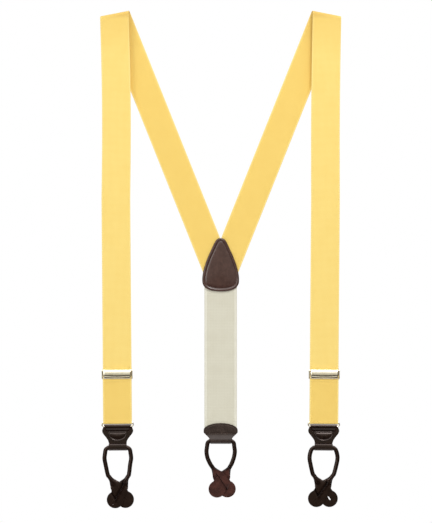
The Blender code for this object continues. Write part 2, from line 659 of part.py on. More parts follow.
def patch_and_elastic():
    """The two leathers of the patch and the elastic that hangs from between them."""
    for name, side in (("patch_inner", -1), ("patch_outer", 1)):
        spot = (0, BACK_Y + side * PATCH_OFFSET, -BACK_DROP)
        outline_solid(name, [patch_outline()], PATCH_THICK, UPRIGHT, None, "brown", spot, 0.4 * MM)
    top = -BACK_DROP - SEAM_BELOW - GAP
    foot = ELASTIC_TUCK - BACK_TUNNEL_DROP
    half = ELASTIC_WIDTH / 2
    strip("elastic", [(BACK_Y, top, half), (BACK_Y, foot, half)], ELASTIC_THICK, None, "elastic")


def back_leather(end):
    """The back end: one leather folded round the loop's cord, its two leaves holding the elastic."""
    leaf = ELASTIC_THICK / 2 + GAP + LEATHER / 2
    widest = BACK_HALF
    leaf_rows = [(0, 0.25 * widest), (0.5 * MM, 0.50 * widest), (1.6 * MM, 0.72 * widest),
                 (3.4 * MM, 0.88 * widest), (5.6 * MM, 0.97 * widest), (8.6 * MM, widest),
                 (11.4 * MM, 0.95 * widest), (14.4 * MM, 0.84 * widest)]
    front = [(-leaf, BACK_LEAF - down, half) for down, half in leaf_rows]
    front.append((-(leaf + TUNNEL_RADIUS) / 2, 4.2 * MM, BACK_TUNNEL_HALF + 2.2 * MM))
    front.append((-TUNNEL_RADIUS + 0.1 * MM, 1.6 * MM, BACK_TUNNEL_HALF + 0.6 * MM))
    tunnel = [(y, z, BACK_TUNNEL_HALF) for y, z in arc((0, 0), TUNNEL_RADIUS, 180, 360, 12)]
    back = [(-y, z, half) for y, z, half in reversed(front)]
    strip("back_leather", front + tunnel + back, LEATHER, end, "brown")


# ---------------------------------------------------------------- assembly

def assemble():
    patch_and_elastic()
    back_end = holder("back_end", None, (0, BACK_Y, -BACK_TUNNEL_DROP))
    back_leather(back_end)
    back_loop = holder("back_loop", back_end, turn_z=math.pi)
    button_loop("back", "back_", back_loop, BACK_TUNNEL_HALF)

    for side, name in ((-1, "left"), (1, "right")):
        back_ribbon(side, name)
        centre, axis, _ = fold_frame(side)
        pivot = centre + axis * math.pi * FOLD_RADIUS * math.tan(HELIX)
        strap = holder("front_strap_axis_" + name, None, pivot, side * LEAN)
        turn = holder("turn_axis_" + name, strap, (0, RING_Y, -FRONT_DROP))
        adjuster = holder("adjuster_" + name, strap, (0, 0, -ADJUSTER_DROP))
        lever = holder("lever_axis_" + name, adjuster, (0, PIN_Y, PIN_ABOVE))
        ring = holder("ring_axis_" + name, turn)
        end = holder("end_axis_" + name, ring, (0, 0, -RING_HEIGHT))
        loop = holder("loop_axis_" + name, end, (0, 0, -TUNNEL_DROP))
        front_ribbon(side, name, strap, turn, adjuster)
        adjuster_pieces(name, adjuster, lever)
        end_ring(name, ring)
        end_strip(name, end)
        end_facing_and_flap(name, end)
        button_loop(name, name + "_", loop, TUNNEL_HALF)


assemble()
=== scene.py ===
"""Looks for the button-on dress braces: ribbons, elastic, leathers, rolled button loops and nickel fittings.

Metres, +Z up, X across, the fronts facing -Y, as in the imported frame. Ribbon pieces carry a UV map in
millimetres: across the ribbon and along it, with the inner face set 100 further across.
"""
import math

import bpy
import numpy as np
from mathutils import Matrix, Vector


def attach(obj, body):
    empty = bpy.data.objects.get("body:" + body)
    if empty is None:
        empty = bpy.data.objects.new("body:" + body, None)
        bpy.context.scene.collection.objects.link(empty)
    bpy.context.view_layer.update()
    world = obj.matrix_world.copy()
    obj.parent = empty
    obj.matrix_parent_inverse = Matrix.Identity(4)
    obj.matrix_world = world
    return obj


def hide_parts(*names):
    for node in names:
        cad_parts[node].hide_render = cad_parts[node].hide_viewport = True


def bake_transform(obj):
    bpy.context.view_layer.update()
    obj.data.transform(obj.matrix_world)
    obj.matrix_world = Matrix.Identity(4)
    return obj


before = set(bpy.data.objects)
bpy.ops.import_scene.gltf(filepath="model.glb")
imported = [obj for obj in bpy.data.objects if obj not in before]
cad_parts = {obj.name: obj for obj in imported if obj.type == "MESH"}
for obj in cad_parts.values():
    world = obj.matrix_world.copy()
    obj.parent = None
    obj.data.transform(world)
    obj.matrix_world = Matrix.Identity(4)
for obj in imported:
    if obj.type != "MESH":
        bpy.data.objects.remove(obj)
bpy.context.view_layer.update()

MM = 0.001

# ---------------------------------------------------------------- sizes that the frame was built to
SHOULDER_HALF, BACK_DROP, FRONT_DROP = 127.4, 318.9, 494.4
LEAN = math.radians(0.45)
SLANT = math.atan2(SHOULDER_HALF, BACK_DROP)
FOLD_TILT, HELIX = (SLANT + LEAN) / 2, (SLANT - LEAN) / 2
FOLD_RADIUS = 3.5
FOLD_LENGTH = math.pi * FOLD_RADIUS / math.cos(HELIX)       # of the ribbon, half round the shoulder
RIBBON_HALF, RIBBON_THICK = 17.5, 0.9
HIDDEN_END = 334.0                         # down the back strap: its cut end, under the patch
FIRM_END, TURN_TOP = 290.0, 489.4          # down the front strap: where its pieces meet
ELASTIC_HALF, ELASTIC_THICK = 19.8, 1.2
ADJUSTER_DROP, ADJUSTER_TOP = 435.4, 222.0
RING_Y, TURN_RADIUS = -5.15, 1.65
RUN_Y, BAR_Y, TAIL_Y, BAR_BELOW, BAR_WRAP = -7.5, -6.15, -4.8, 3.4, 1.35
PIN_Y, PIN_ABOVE, KNUCKLE = -6.15, 4.0, 1.8
LEVER_Y, LEVER_THICK, LEVER_CROWN, LEVER_HALF, LEVER_FOOT = -8.35, 0.8, 1.2, 16.6, -5.8
WIRE, RING_CORNER, RING_HEIGHT = 0.9, 1.9, 4.7
LEATHER, FLAP_HALF, FLAP_TOP, FLAP_HEIGHT = 1.1, 11.6, 6.25, 11.8
ROLL_RADIUS, ROLL_HALF, SHOULDER = 1.75, 17.2, 18.8
TUNNEL_DROP, TUNNEL_RADIUS, TUNNEL_HALF, NECK_HALF = 25.8, 3.2, 11.2, 10.8
FACING_TOP, FACING_BOTTOM, FACING_Y = 2.5, 20.6, -1.45
BACK_TUNNEL, BACK_LEAF, BACK_HALF, BACK_TUNNEL_HALF = 517.85, 21.65, 20.8, 12.4
ELASTIC_TOP, ELASTIC_FOOT = 322.0, BACK_TUNNEL - 10.8
ROLLED = 2.6                               # the rolled cord, a little fuller than its frame solid
CORD_RADIUS, TAB_THICK, TAB_GAP, DISC_RADIUS, TAB_NECK = 2.35, 1.3, 0.5, 10.3, 8.6
CORD_SHORT, CORD_SPREAD, BUTTONHOLE, EASE = 27.0, 10.7, 7.0, 3.5
LOOPS = {"left": (2.7, 6.2, 63.5, 16.2), "right": (-0.4, 7.9, 62.2, 17.0), "back": (-1.8, 6.3, 59.0, 17.3)}


# ---------------------------------------------------------------- shapes from arrays

def smooth(x):
    """0 below 0, 1 above 1, easing in and out between."""
    x = np.clip(x, 0, 1)
    return x * x * (3 - 2 * x)


def through(keys, per_span):
    """Catmull-Rom curve through the keys: on each span a cubic in the share t of the way along it."""
    keys = np.asarray(keys, float)
    ends = np.vstack([2 * keys[0] - keys[1], keys, 2 * keys[-1] - keys[-2]])
    a, b, c, d = (ends[k:len(ends) - 3 + k][:, None] for k in range(4))
    t = np.linspace(0, 1, per_span, endpoint=False)[None, :, None]
    curve = 0.5 * (2 * b + (c - a) * t + (2 * a - 5 * b + 4 * c - d) * t**2 + (3 * b - a - 3 * c + d) * t**3)
    return np.vstack([curve.reshape(-1, keys.shape[1]), keys[-1:]])


def arc(centre, radius, start, end, steps):
    """Points of a circle's arc in a plane, angles in degrees."""
    angles = np.radians(np.linspace(start, end, steps + 1))
    return np.stack([centre[0] + radius * np.cos(angles), centre[1] + radius * np.sin(angles)], 1)


def unit(vectors):
    return vectors / np.maximum(np.linalg.norm(vectors, axis=-1, keepdims=True), 1e-12)


def lattice(rows, columns, wrapped=False):
    """Four-cornered faces between neighbouring rows and columns of points numbered row by row."""
    i = np.arange(rows - 1)[:, None]
    j = np.arange(columns if wrapped else columns - 1)[None, :]
    k = (j + 1) % columns
    quads = np.stack([i * columns + j, i * columns + k, (i + 1) * columns + k, (i + 1) * columns + j], -1)
    return quads.reshape(-1, 4)


def end_caps(rows, columns):
    """The two many-cornered faces that close a wrapped lattice at its first and last row."""
    ring = np.arange(columns)[None]
    return [ring[:, ::-1], (rows - 1) * columns + ring]


def bowed(start, pull, end, steps):
    """Points of the quadratic curve from start to end that leaves and arrives pointing at pull."""
    t = np.linspace(0, 1, steps)[:, None]
    return np.multiply(start, (1 - t)**2) + np.multiply(pull, 2 * t * (1 - t)) + np.multiply(end, t**2)


def enclosed(points, faces):
    """Volume inside the faces: a sixth of the triple product of each face's fan of triangles, summed."""
    total = 0.0
    for ring in faces:
        first = points[ring[:, 0]]
        for k in range(1, ring.shape[1] - 1):
            total += np.einsum("ij,ij->", first, np.cross(points[ring[:, k]], points[ring[:, k + 1]]))
    return total / 6


def make(name, points, faces, finish, uv=None, turned=None, crisp=45):
    """One mesh object from points and face arrays; a closed one is turned to face outwards by its volume."""
    points = np.asarray(points, float).reshape(-1, 3) * MM
    if turned is None:
        turned = enclosed(points - points.mean(0), faces) < 0
    if turned:
        faces = [ring[:, ::-1] for ring in faces]
        uv = uv and [corner[:, ::-1] for corner in uv]
    mesh = bpy.data.meshes.new(name)
    mesh.from_pydata(points.tolist(), [], [face for ring in faces for face in ring.tolist()])
    if uv:
        layer = mesh.uv_layers.new(name="weave")
        layer.data.foreach_set("uv", np.concatenate([corner.reshape(-1) for corner in uv]).astype(np.float32))
    mesh.shade_smooth()
    mesh.set_sharp_from_angle(angle=math.radians(crisp))
    piece = bpy.data.objects.new(name, mesh)
    bpy.context.scene.collection.objects.link(piece)
    for material in finish if isinstance(finish, tuple) else (finish,):
        mesh.materials.append(material)
    return piece


def thicken(piece, thickness, edge=0.3):
    """Gives a leather its thickness, grain outside, flesh inside and a cut edge, and eases its corners."""
    shell = piece.modifiers.new("thickness", "SOLIDIFY")
    shell.thickness = thickness * MM
    shell.offset = 0
    shell.use_even_offset = True
    shell.material_offset, shell.material_offset_rim = 1, 2
    ease = piece.modifiers.new("eased_edges", "BEVEL")
    ease.width, ease.segments = edge * MM, 3
    ease.limit_method, ease.angle_limit = "ANGLE", math.radians(50)


def front_place(side, y=0.0, drop=0.0):
    """From a front fitting's own axes to the frame's: turned by the strap's lean, set on the fold's axis."""
    out = math.pi * FOLD_RADIUS * math.tan(HELIX)
    pivot = np.array([side * (SHOULDER_HALF + math.cos(FOLD_TILT) * out), 0, -math.sin(FOLD_TILT) * out])
    c, s = math.cos(side * LEAN), math.sin(side * LEAN)
    turn = np.array([[c, 0, s], [0, 1, 0], [-s, 0, c]])
    return lambda points: pivot + (np.asarray(points, float) + np.array([0, y, -drop])) @ turn.T


def back_place(drop=0.0, half_turn=False):
    """From a back fitting's own axes to the frame's."""
    flip = np.array([-1.0, -1.0, 1.0]) if half_turn else np.ones(3)
    return lambda points: np.asarray(points, float) * flip + np.array([0, FOLD_RADIUS, -drop])


# ---------------------------------------------------------------- woven strips

def strip_section(half, thick, groove):
    """Round the strip, across (u) and out (h): flat faces, a groove inside each selvedge, round edges."""
    r = thick / 2
    reach = half - r
    groove_in = np.array([1.15, 1.5, 1.85])
    u = -np.concatenate([[reach], half - groove_in, [half * 0.7, half * 0.35]])
    u = np.concatenate([u, [0.0], -u[::-1]])
    h = np.full(len(u), r)
    h[[2, -3]] -= groove
    turn = np.radians([45.0, 0.0, -45.0])
    edge_u, edge_h = reach + r * np.cos(turn), r * np.sin(turn)
    return (np.concatenate([u, edge_u, u[::-1], -edge_u[::-1]]),
            np.concatenate([h, edge_h, -h[::-1], edge_h[::-1]]))


def woven(name, rows_u, rows_v, h, points, finish):
    """A closed strip from rows of section points, its UV map laid in millimetres on both faces."""
    rows, columns = rows_v.shape
    faces = lattice(rows, columns, wrapped=True)
    inner = (h + np.roll(h, -1)) < -1e-6
    flat = np.stack([rows_u, rows_v], -1).reshape(-1, 2)[faces]
    flat[..., 0] += 100 * np.tile(inner, rows - 1)[:, None]
    ends = end_caps(rows, columns)
    caps = [np.stack([rows_u, rows_v], -1).reshape(-1, 2)[end] for end in ends]
    return make(name, points, [faces, *ends], finish, uv=[flat, *caps])


def over_shoulder(side, u, v, h):
    """Ribbon laid flat up the back, half round the fold and flat down the front.

    On the unrolled ribbon a = u cos H + v sin H runs along the fold's axis and b = v cos H - u sin H up to
    it; b below 0 is the back, 0 to pi R the half turn, above it the front. h stands out from its middle.
    """
    a = u * math.cos(HELIX) + v * math.sin(HELIX)
    b = v * math.cos(HELIX) - u * math.sin(HELIX)
    angle = np.clip(b / FOLD_RADIUS, 0, math.pi)
    rise = (FOLD_RADIUS + h) * np.sin(angle) + np.minimum(b, 0) - np.maximum(b - math.pi * FOLD_RADIUS, 0)
    depth = (FOLD_RADIUS + h) * np.cos(angle)
    x = side * (SHOULDER_HALF + math.cos(FOLD_TILT) * a + math.sin(FOLD_TILT) * rise)
    x = x - side * strap_bow(side, v - FOLD_LENGTH)
    z = math.cos(FOLD_TILT) * rise - math.sin(FOLD_TILT) * a
    return np.stack([x, depth + 0 * a, z], -1)


def strap_bow(side, down):
    """How far the hanging front strap bows towards the middle: a half sine from the fold to ADJUSTER_TOP, the
    highest that the adjuster slides."""
    return (1.5 if side < 0 else 0.8) * np.sin(np.pi * np.clip(down / ADJUSTER_TOP, 0, 1))


def upper_ribbon(side, name, finish):
    """From under the patch, over the shoulder and down to where the front strap may start to shorten."""
    u, h = strip_section(RIBBON_HALF, RIBBON_THICK, 0.1)
    spans = ((-HIDDEN_END, 60), (-60, 20), (-4, 41), (FOLD_LENGTH + 4, 20), (70, 50),
             (FOLD_LENGTH + FIRM_END, 0))
    v = np.concatenate([np.linspace(start, end, count)[:-1]
                        for (start, count), (end, _) in zip(spans, spans[1:])] + [[spans[-1][0]]])[:, None]
    shear = math.tan(HELIX) * (1 - smooth((np.abs(v - FOLD_LENGTH / 2) - 12) / 40))
    centre_line = (0.15 - SHOULDER_HALF - v * math.sin(SLANT)) / math.cos(SLANT)
    inside = np.maximum(-RIBBON_HALF, centre_line)
    rows_u = inside + (u + RIBBON_HALF) / (2 * RIBBON_HALF) * (RIBBON_HALF - inside)
    rows_v = v + shear * u
    points = over_shoulder(side, rows_u, rows_v, h[None, :])
    return woven(name, rows_u, rows_v, h, points, finish)


def hanging_ribbon(side, name, path, start, finish):
    """A strip along a path in (y, z), square across; its outer face is on the right of the way it runs."""
    u, h = strip_section(RIBBON_HALF, RIBBON_THICK, 0.1)
    step = np.linalg.norm(np.diff(path, axis=0), axis=1)
    v = start + np.concatenate([[0], np.cumsum(step)])
    run = unit(np.gradient(path, axis=0))
    out = np.stack([run[:, 1], -run[:, 0]], 1)
    y = path[:, :1] + out[:, :1] * h
    z = path[:, 1:] + out[:, 1:] * h
    bow = strap_bow(side, -z) * (path[:, :1] > RING_Y)
    points = front_place(side)(np.stack([side * (u - bow) + 0 * y, y, z], -1))
    return woven(name, u + 0 * y, v[:, None] + 0 * y, h, points, finish), v[-1]


def line(start, end, steps):
    return np.linspace(start, end, steps + 1)


def elastic_strip(finish):
    """Straight webbing from inside the patch to inside the back end."""
    u, h = strip_section(ELASTIC_HALF, ELASTIC_THICK, 0.12)
    v = np.linspace(ELASTIC_TOP, ELASTIC_FOOT, 90)[:, None]
    points = np.stack([u + 0 * v, FOLD_RADIUS + h + 0 * v, -v + 0 * u], -1)
    return woven("elastic_webbing", u + 0 * v, v + 0 * u, h, points, finish)


# ---------------------------------------------------------------- plates with a worked rim

def loop_normals(loop):
    """Outward direction at each point of a closed outline, square to the line between its neighbours."""
    run = unit(np.roll(loop, -1, 0) - np.roll(loop, 1, 0))
    out = np.stack([run[:, 1], -run[:, 0]], 1)
    area = np.sum(loop[:, 0] * np.roll(loop[:, 1], -1) - np.roll(loop[:, 0], -1) * loop[:, 1])
    return out if area > 0 else -out


def plate(name, loop, rim, crown, finish, place, middle, y, outward):
    """A plate in rings: the outline moved in by each rim pair's distance and raised by its height, then rings
    that shrink to the middle point while the height eases up to the crown."""
    out = loop_normals(loop)
    rings = [np.column_stack([loop - out * inset, np.full(len(loop), height)]) for inset, height in rim]
    last = rings[-1]
    for share in (0.12, 0.3, 0.5, 0.7, 0.88):
        spot = last[:, :2] + (np.asarray(middle) - last[:, :2]) * share
        height = last[:, 2] + (crown - last[:, 2]) * math.sin(share * math.pi / 2)
        rings.append(np.column_stack([spot, height]))
    rows, columns = len(rings), len(loop)
    flat = np.vstack([*rings, [[*middle, 0.0]], [[*middle, crown]]])
    spokes = np.arange(columns)
    after = (spokes + 1) % columns
    hub, last_row = rows * columns, (rows - 1) * columns
    bottom = np.stack([np.full(columns, hub), after, spokes], 1)
    top = np.stack([last_row + spokes, last_row + after, np.full(columns, hub + 1)], 1)
    points = place(np.stack([flat[:, 0], y + outward * flat[:, 2], flat[:, 1]], -1))
    return make(name, points, [lattice(rows, columns, wrapped=True), bottom, top], finish, crisp=60)


def patch_outline():
    """Rounded triangle: a round apex, slightly full sides and a shallow curve along the bottom."""
    shares = [(0, 0), (0.15, 0.015), (0.30, 0.068), (0.50, 0.21), (0.685, 0.35), (0.835, 0.49), (0.95, 0.63),
              (1, 0.76), (0.97, 0.86), (0.83, 0.93), (0.60, 0.972), (0.30, 0.994), (0, 1)]
    right = through([(a * 22.5, 48.9 - b * 65.6) for a, b in shares], 7)
    return np.vstack([right, (right * [-1, 1])[::-1][1:-1]])


def flap_outline():
    """A letter D lying on its back: a straight top, eased corners and a round bottom."""
    corner = 2.4
    wide, low = FLAP_HALF, -FLAP_TOP - corner
    a = np.linspace(0, math.pi, 49)[1:-1]
    belly = np.stack([wide * np.cos(a), low - (FLAP_HEIGHT - corner) * np.sin(a)**0.96], 1)
    left = arc((corner - wide, low), corner, 180, 90, 6)
    right = arc((wide - corner, low), corner, 90, 0, 6)
    top = line(left[-1], right[0], 16)[1:-1]
    return np.vstack([belly, left, top, right])


# ---------------------------------------------------------------- bent leathers

def leather_rows(name, rows, columns, finish, place, thickness, turned=False):
    """Leather bent along a path: each row is (y, z, half width, arch). Across a row the angle p runs from -90
    to 90 degrees, x is half width times sin p, and z drops by the arch times 1 - cos p."""
    y, z, half, arch = (rows[:, k:k + 1] for k in range(4))
    p = np.linspace(-math.pi / 2, math.pi / 2, columns)[None]
    points = np.stack([half * np.sin(p), y + 0 * p, z - arch * (1 - np.cos(p))], -1)
    piece = make(name, place(points), [lattice(len(rows), columns)], finish, turned=turned, crisp=80)
    thicken(piece, thickness)
    return piece


def end_strip_rows():
    """The strip from behind the facing, over the ring's bar, down the back and round the cord."""
    tuck = -0.05
    tucked = lambda drop: (1 - drop / FLAP_TOP) * (ROLL_HALF - 1.6) + drop / FLAP_TOP * (FLAP_HALF + 0.7)
    rows = [(tuck, -FLAP_TOP - 2.2, FLAP_HALF + 0.7), (tuck, -FLAP_TOP - 0.3, FLAP_HALF + 0.7)]
    rows += [(y, -drop, tucked(drop)) for y, drop in ((-0.45, 4.4), (-1.4, 1.9))]
    over = arc((0, 0), ROLL_RADIUS, 180, 0, 10)
    rows += [(y, z, half) for (y, z), half in zip(over, np.linspace(ROLL_HALF - 1.6, ROLL_HALF, len(over)))]
    leaf = ROLL_RADIUS + 0.1
    rows += [(leaf, -drop, half) for drop, half in (
        (2.5, SHOULDER - 0.8), (4.5, SHOULDER - 0.1), (6.2, SHOULDER), (8.6, SHOULDER - 0.9),
        (12.2, SHOULDER - 3.7), (15.6, NECK_HALF + 1.7), (18.2, NECK_HALF + 0.3))]
    rows.append((TUNNEL_RADIUS - 0.5, 3.6 - TUNNEL_DROP, NECK_HALF))
    rows += [(y, z, TUNNEL_HALF) for y, z in arc((0, -TUNNEL_DROP), TUNNEL_RADIUS, 0, -180, 12)]
    rows.append((0.1 - TUNNEL_RADIUS, 2.6 - TUNNEL_DROP, NECK_HALF + 0.2))
    rows.append((0.6 - TUNNEL_RADIUS, -FACING_BOTTOM - 0.85, NECK_HALF + 0.1))
    rows = through(rows, 4)
    return np.column_stack([rows, np.zeros(len(rows))])


def back_leather_rows():
    """Both leaves and the tunnel between them; the leaves' top edge is arched, the tunnel straight."""
    leaf = ELASTIC_THICK / 2 + 0.3 + LEATHER / 2
    front = [(-leaf, BACK_LEAF, BACK_HALF, 8.7), (-leaf, 17.9, BACK_HALF, 6.2), (-leaf, 14.2, 20.7, 3.9),
             (-leaf, 11.0, 19.7, 2.0), (-leaf, 8.0, 17.9, 0.8), (-(leaf + TUNNEL_RADIUS) / 2, 4.4, 14.8, 0.2),
             (0.1 - TUNNEL_RADIUS, 1.6, 13.1, 0.0)]
    tunnel = [(y, z, BACK_TUNNEL_HALF, 0.0) for y, z in arc((0, 0), TUNNEL_RADIUS, 180, 360, 12)]
    back = [(-y, *rest) for y, *rest in reversed(front)]
    return through(front + tunnel + back, 4)


def facing(side, name, finish):
    """Shouldered facing. A column starts at the shoulder's top or, in the notch, at the flap's top edge."""
    notch, step = 0.775, 0.025
    columns = np.unique([*np.linspace(-1, 1, 33), notch, -notch, notch + step, -notch - step])[None]
    keys = through([(-FACING_BOTTOM - 0.2, NECK_HALF - 0.5), (-19.6, NECK_HALF + 0.1),
                    (-16.4, NECK_HALF + 1.2), (-12.4, SHOULDER - 4.0), (-9.0, SHOULDER - 1.3),
                    (-6.4, SHOULDER - 0.2), (-4.4, SHOULDER - 0.1), (-FACING_TOP, SHOULDER - 0.9)], 8)
    top = -FLAP_TOP + (FLAP_TOP - FACING_TOP) * smooth((np.abs(columns) - notch) / (2 * step))
    t = np.linspace(0, 1, 34)[:, None]
    z = top + t * (-FACING_BOTTOM - top)
    x = columns * np.interp(z, keys[:, 0], keys[:, 1])
    points = np.stack([x, FACING_Y + 0 * x, z], -1)
    place = front_place(side, RING_Y, FRONT_DROP + RING_HEIGHT)
    piece = make(name, place(points), [lattice(*x.shape)], finish, turned=True, crisp=80)
    thicken(piece, LEATHER)
    return piece


# ---------------------------------------------------------------- wire and rolled cord

def planar_tube(name, path, radius, sides, finish, place, closed=False, seam=0.0):
    """Round section carried along a path in (x, z): out by r cos q along the path's normal, r sin q in depth.
    A seam is a narrow groove along the far side."""
    path = np.asarray(path, float)
    run = unit(np.roll(path, -1, 0) - np.roll(path, 1, 0) if closed else np.gradient(path, axis=0))
    out = np.stack([run[:, 1], -run[:, 0]], 1)
    q = np.linspace(0, 2 * math.pi, sides, endpoint=False)[None]
    away = np.abs((q - math.pi / 2 + math.pi) % (2 * math.pi) - math.pi)
    r = np.broadcast_to(np.reshape(radius, (-1, 1)), (len(path), 1)) * (1 - seam * np.exp(-(away / 0.22)**2))
    points = np.stack([path[:, :1] + out[:, :1] * r * np.cos(q), r * np.sin(q) + 0 * path[:, :1],
                       path[:, 1:] + out[:, 1:] * r * np.cos(q)], -1)
    faces = lattice(len(path), sides, wrapped=True)
    if closed:
        last, k = (len(path) - 1) * sides, np.arange(sides)
        join = np.stack([last + k, last + (k + 1) % sides, (k + 1) % sides, k], 1)
        rings = [np.vstack([faces, join])]
    else:
        rings = [faces, *end_caps(len(path), sides)]
    return make(name, place(points), rings, finish, crisp=70)


def ring_path():
    """Rounded rectangle, its upper bar on the axis."""
    half = RIBBON_HALF + 0.3 + WIRE - RING_CORNER
    low, high = RING_CORNER - RING_HEIGHT, -RING_CORNER
    corners = [arc((x, z), RING_CORNER, start, start + 90, 7)
               for x, z, start in ((half, high, 0), (-half, high, 90), (-half, low, 180), (half, low, 270))]
    parts = []
    for now, following in zip(corners, corners[1:] + corners[:1]):
        parts += [now, line(now[-1], following[0], 8)[1:-1]]
    return np.vstack(parts)


# ---------------------------------------------------------------- button loops

class Loop:
    """The two tabs of one button loop in the loop's own axes, seen from the grain side.

    The slit tab comes from the right and ends in the lower left disc; the plain tab comes from the left,
    passes through the other's slit from the front to the back, and ends in the right disc.
    """

    def __init__(self, name):
        sway, spread, drop, self.bulge = LOOPS[name]
        lean = 0.26 * sway
        level = CORD_SHORT - drop
        self.ends = {-1: np.array([lean - CORD_SPREAD, level]), 1: np.array([lean + CORD_SPREAD, level])}
        self.plain = self.layout(self.ends[-1], np.array([sway + spread, -drop]))
        self.slit = self.layout(self.ends[1], np.array([sway - spread, -drop]))
        middle = np.linspace(0, self.slit["length"], 400)
        x, z = self.point(self.slit, middle, 0 * middle)
        outside, upper = self.past_plain(x, z)
        self.slit_top = middle[upper & (outside > 0.3 + EASE)].max()
        self.slit_exit = middle[upper | (outside < 0.3)].max()
        self.slit_foot = self.slit_exit + EASE

    @staticmethod
    def layout(start, disc):
        length = float(np.hypot(*(disc - start)))
        along = (disc - start) / length
        return {"start": start, "length": length, "along": along, "across": np.array([-along[1], along[0]])}

    @staticmethod
    def half_width(tab, u):
        """Flares from the cord to the disc's flank, then follows the disc."""
        part = np.clip(u / tab["length"], 0, 1)
        flare = CORD_RADIUS + (TAB_NECK - CORD_RADIUS) * (1 - (1 - part)**3) * smooth(part / 0.38)
        disc = np.sqrt(np.clip(DISC_RADIUS**2 - (u - tab["length"])**2, 0, None))
        return np.where(u < tab["length"], np.maximum(flare, disc), disc)

    @staticmethod
    def point(tab, u, v):
        return (tab["start"][0] + tab["along"][0] * u + tab["across"][0] * v,
                tab["start"][1] + tab["along"][1] * u + tab["across"][1] * v)

    @staticmethod
    def local(tab, x, z):
        x, z = x - tab["start"][0], z - tab["start"][1]
        return (x * tab["along"][0] + z * tab["along"][1], x * tab["across"][0] + z * tab["across"][1])

    def past_plain(self, x, z):
        """How far a point lies outside the plain tab's outline, and whether on its upper side."""
        u, v = self.local(self.plain, x, z)
        beside = np.abs(v) - self.half_width(self.plain, u)
        length = self.plain["length"]
        round_end = np.hypot(u - length, v) - DISC_RADIUS
        return np.where(u < length, np.minimum(beside, np.maximum(round_end, beside)), round_end), v > 0

    def plain_height(self, x, z):
        """Depth of the plain tab: in front before the slit, behind after it."""
        u, _ = self.local(self.plain, x, z)
        _, beside = self.local(self.slit, x, z)
        side = np.clip(beside / 3, -1, 1)
        return (TAB_THICK + TAB_GAP) / 2 * side * (1.5 - 0.5 * side**2) * smooth(u / 8)

    def slit_height(self, x, z, u, half):
        """Depth of the slit tab: its left half passes behind the plain tab, its right half in front."""
        offset = TAB_THICK + TAB_GAP
        outside, upper = self.past_plain(x, z)
        plain = self.plain_height(x, z)
        near = 1 - smooth((outside - 0.3) / EASE)
        ahead = near * (plain - offset) + (1 - near) * np.where(upper, 0, -offset / 2)
        behind_upper = near * (plain + offset)
        gone = np.maximum(1 - near, smooth((u - self.slit_exit) / EASE))
        behind_lower = (1 - gone) * (plain + offset) + gone * ahead
        return np.where(half < 0, np.where(upper, behind_upper, behind_lower), ahead)


def cord_route(loop, tunnel_half):
    """Centre line of the rolled cord: from one tab's root, up and through the tunnel, down to the other's."""
    halves = {}
    for side, tab in ((-1, loop.plain), (1, loop.slit)):
        end = loop.ends[side]
        keys = [(side * x, z) for x, z in ((tunnel_half + 0.4, 0), (tunnel_half + 3.4, -2.6),
                                           (loop.bulge - 0.6, -7.6), (loop.bulge, -13.5),
                                           (loop.bulge - 1.3, -21.0))]
        keys += [tuple(end - 4 * tab["along"]), tuple(end)]
        halves[side] = through(keys, 7)
    inside = np.array([[x, 0.0] for x in np.linspace(-tunnel_half, tunnel_half, 9)])
    return np.vstack([halves[-1][::-1], inside, halves[1]])


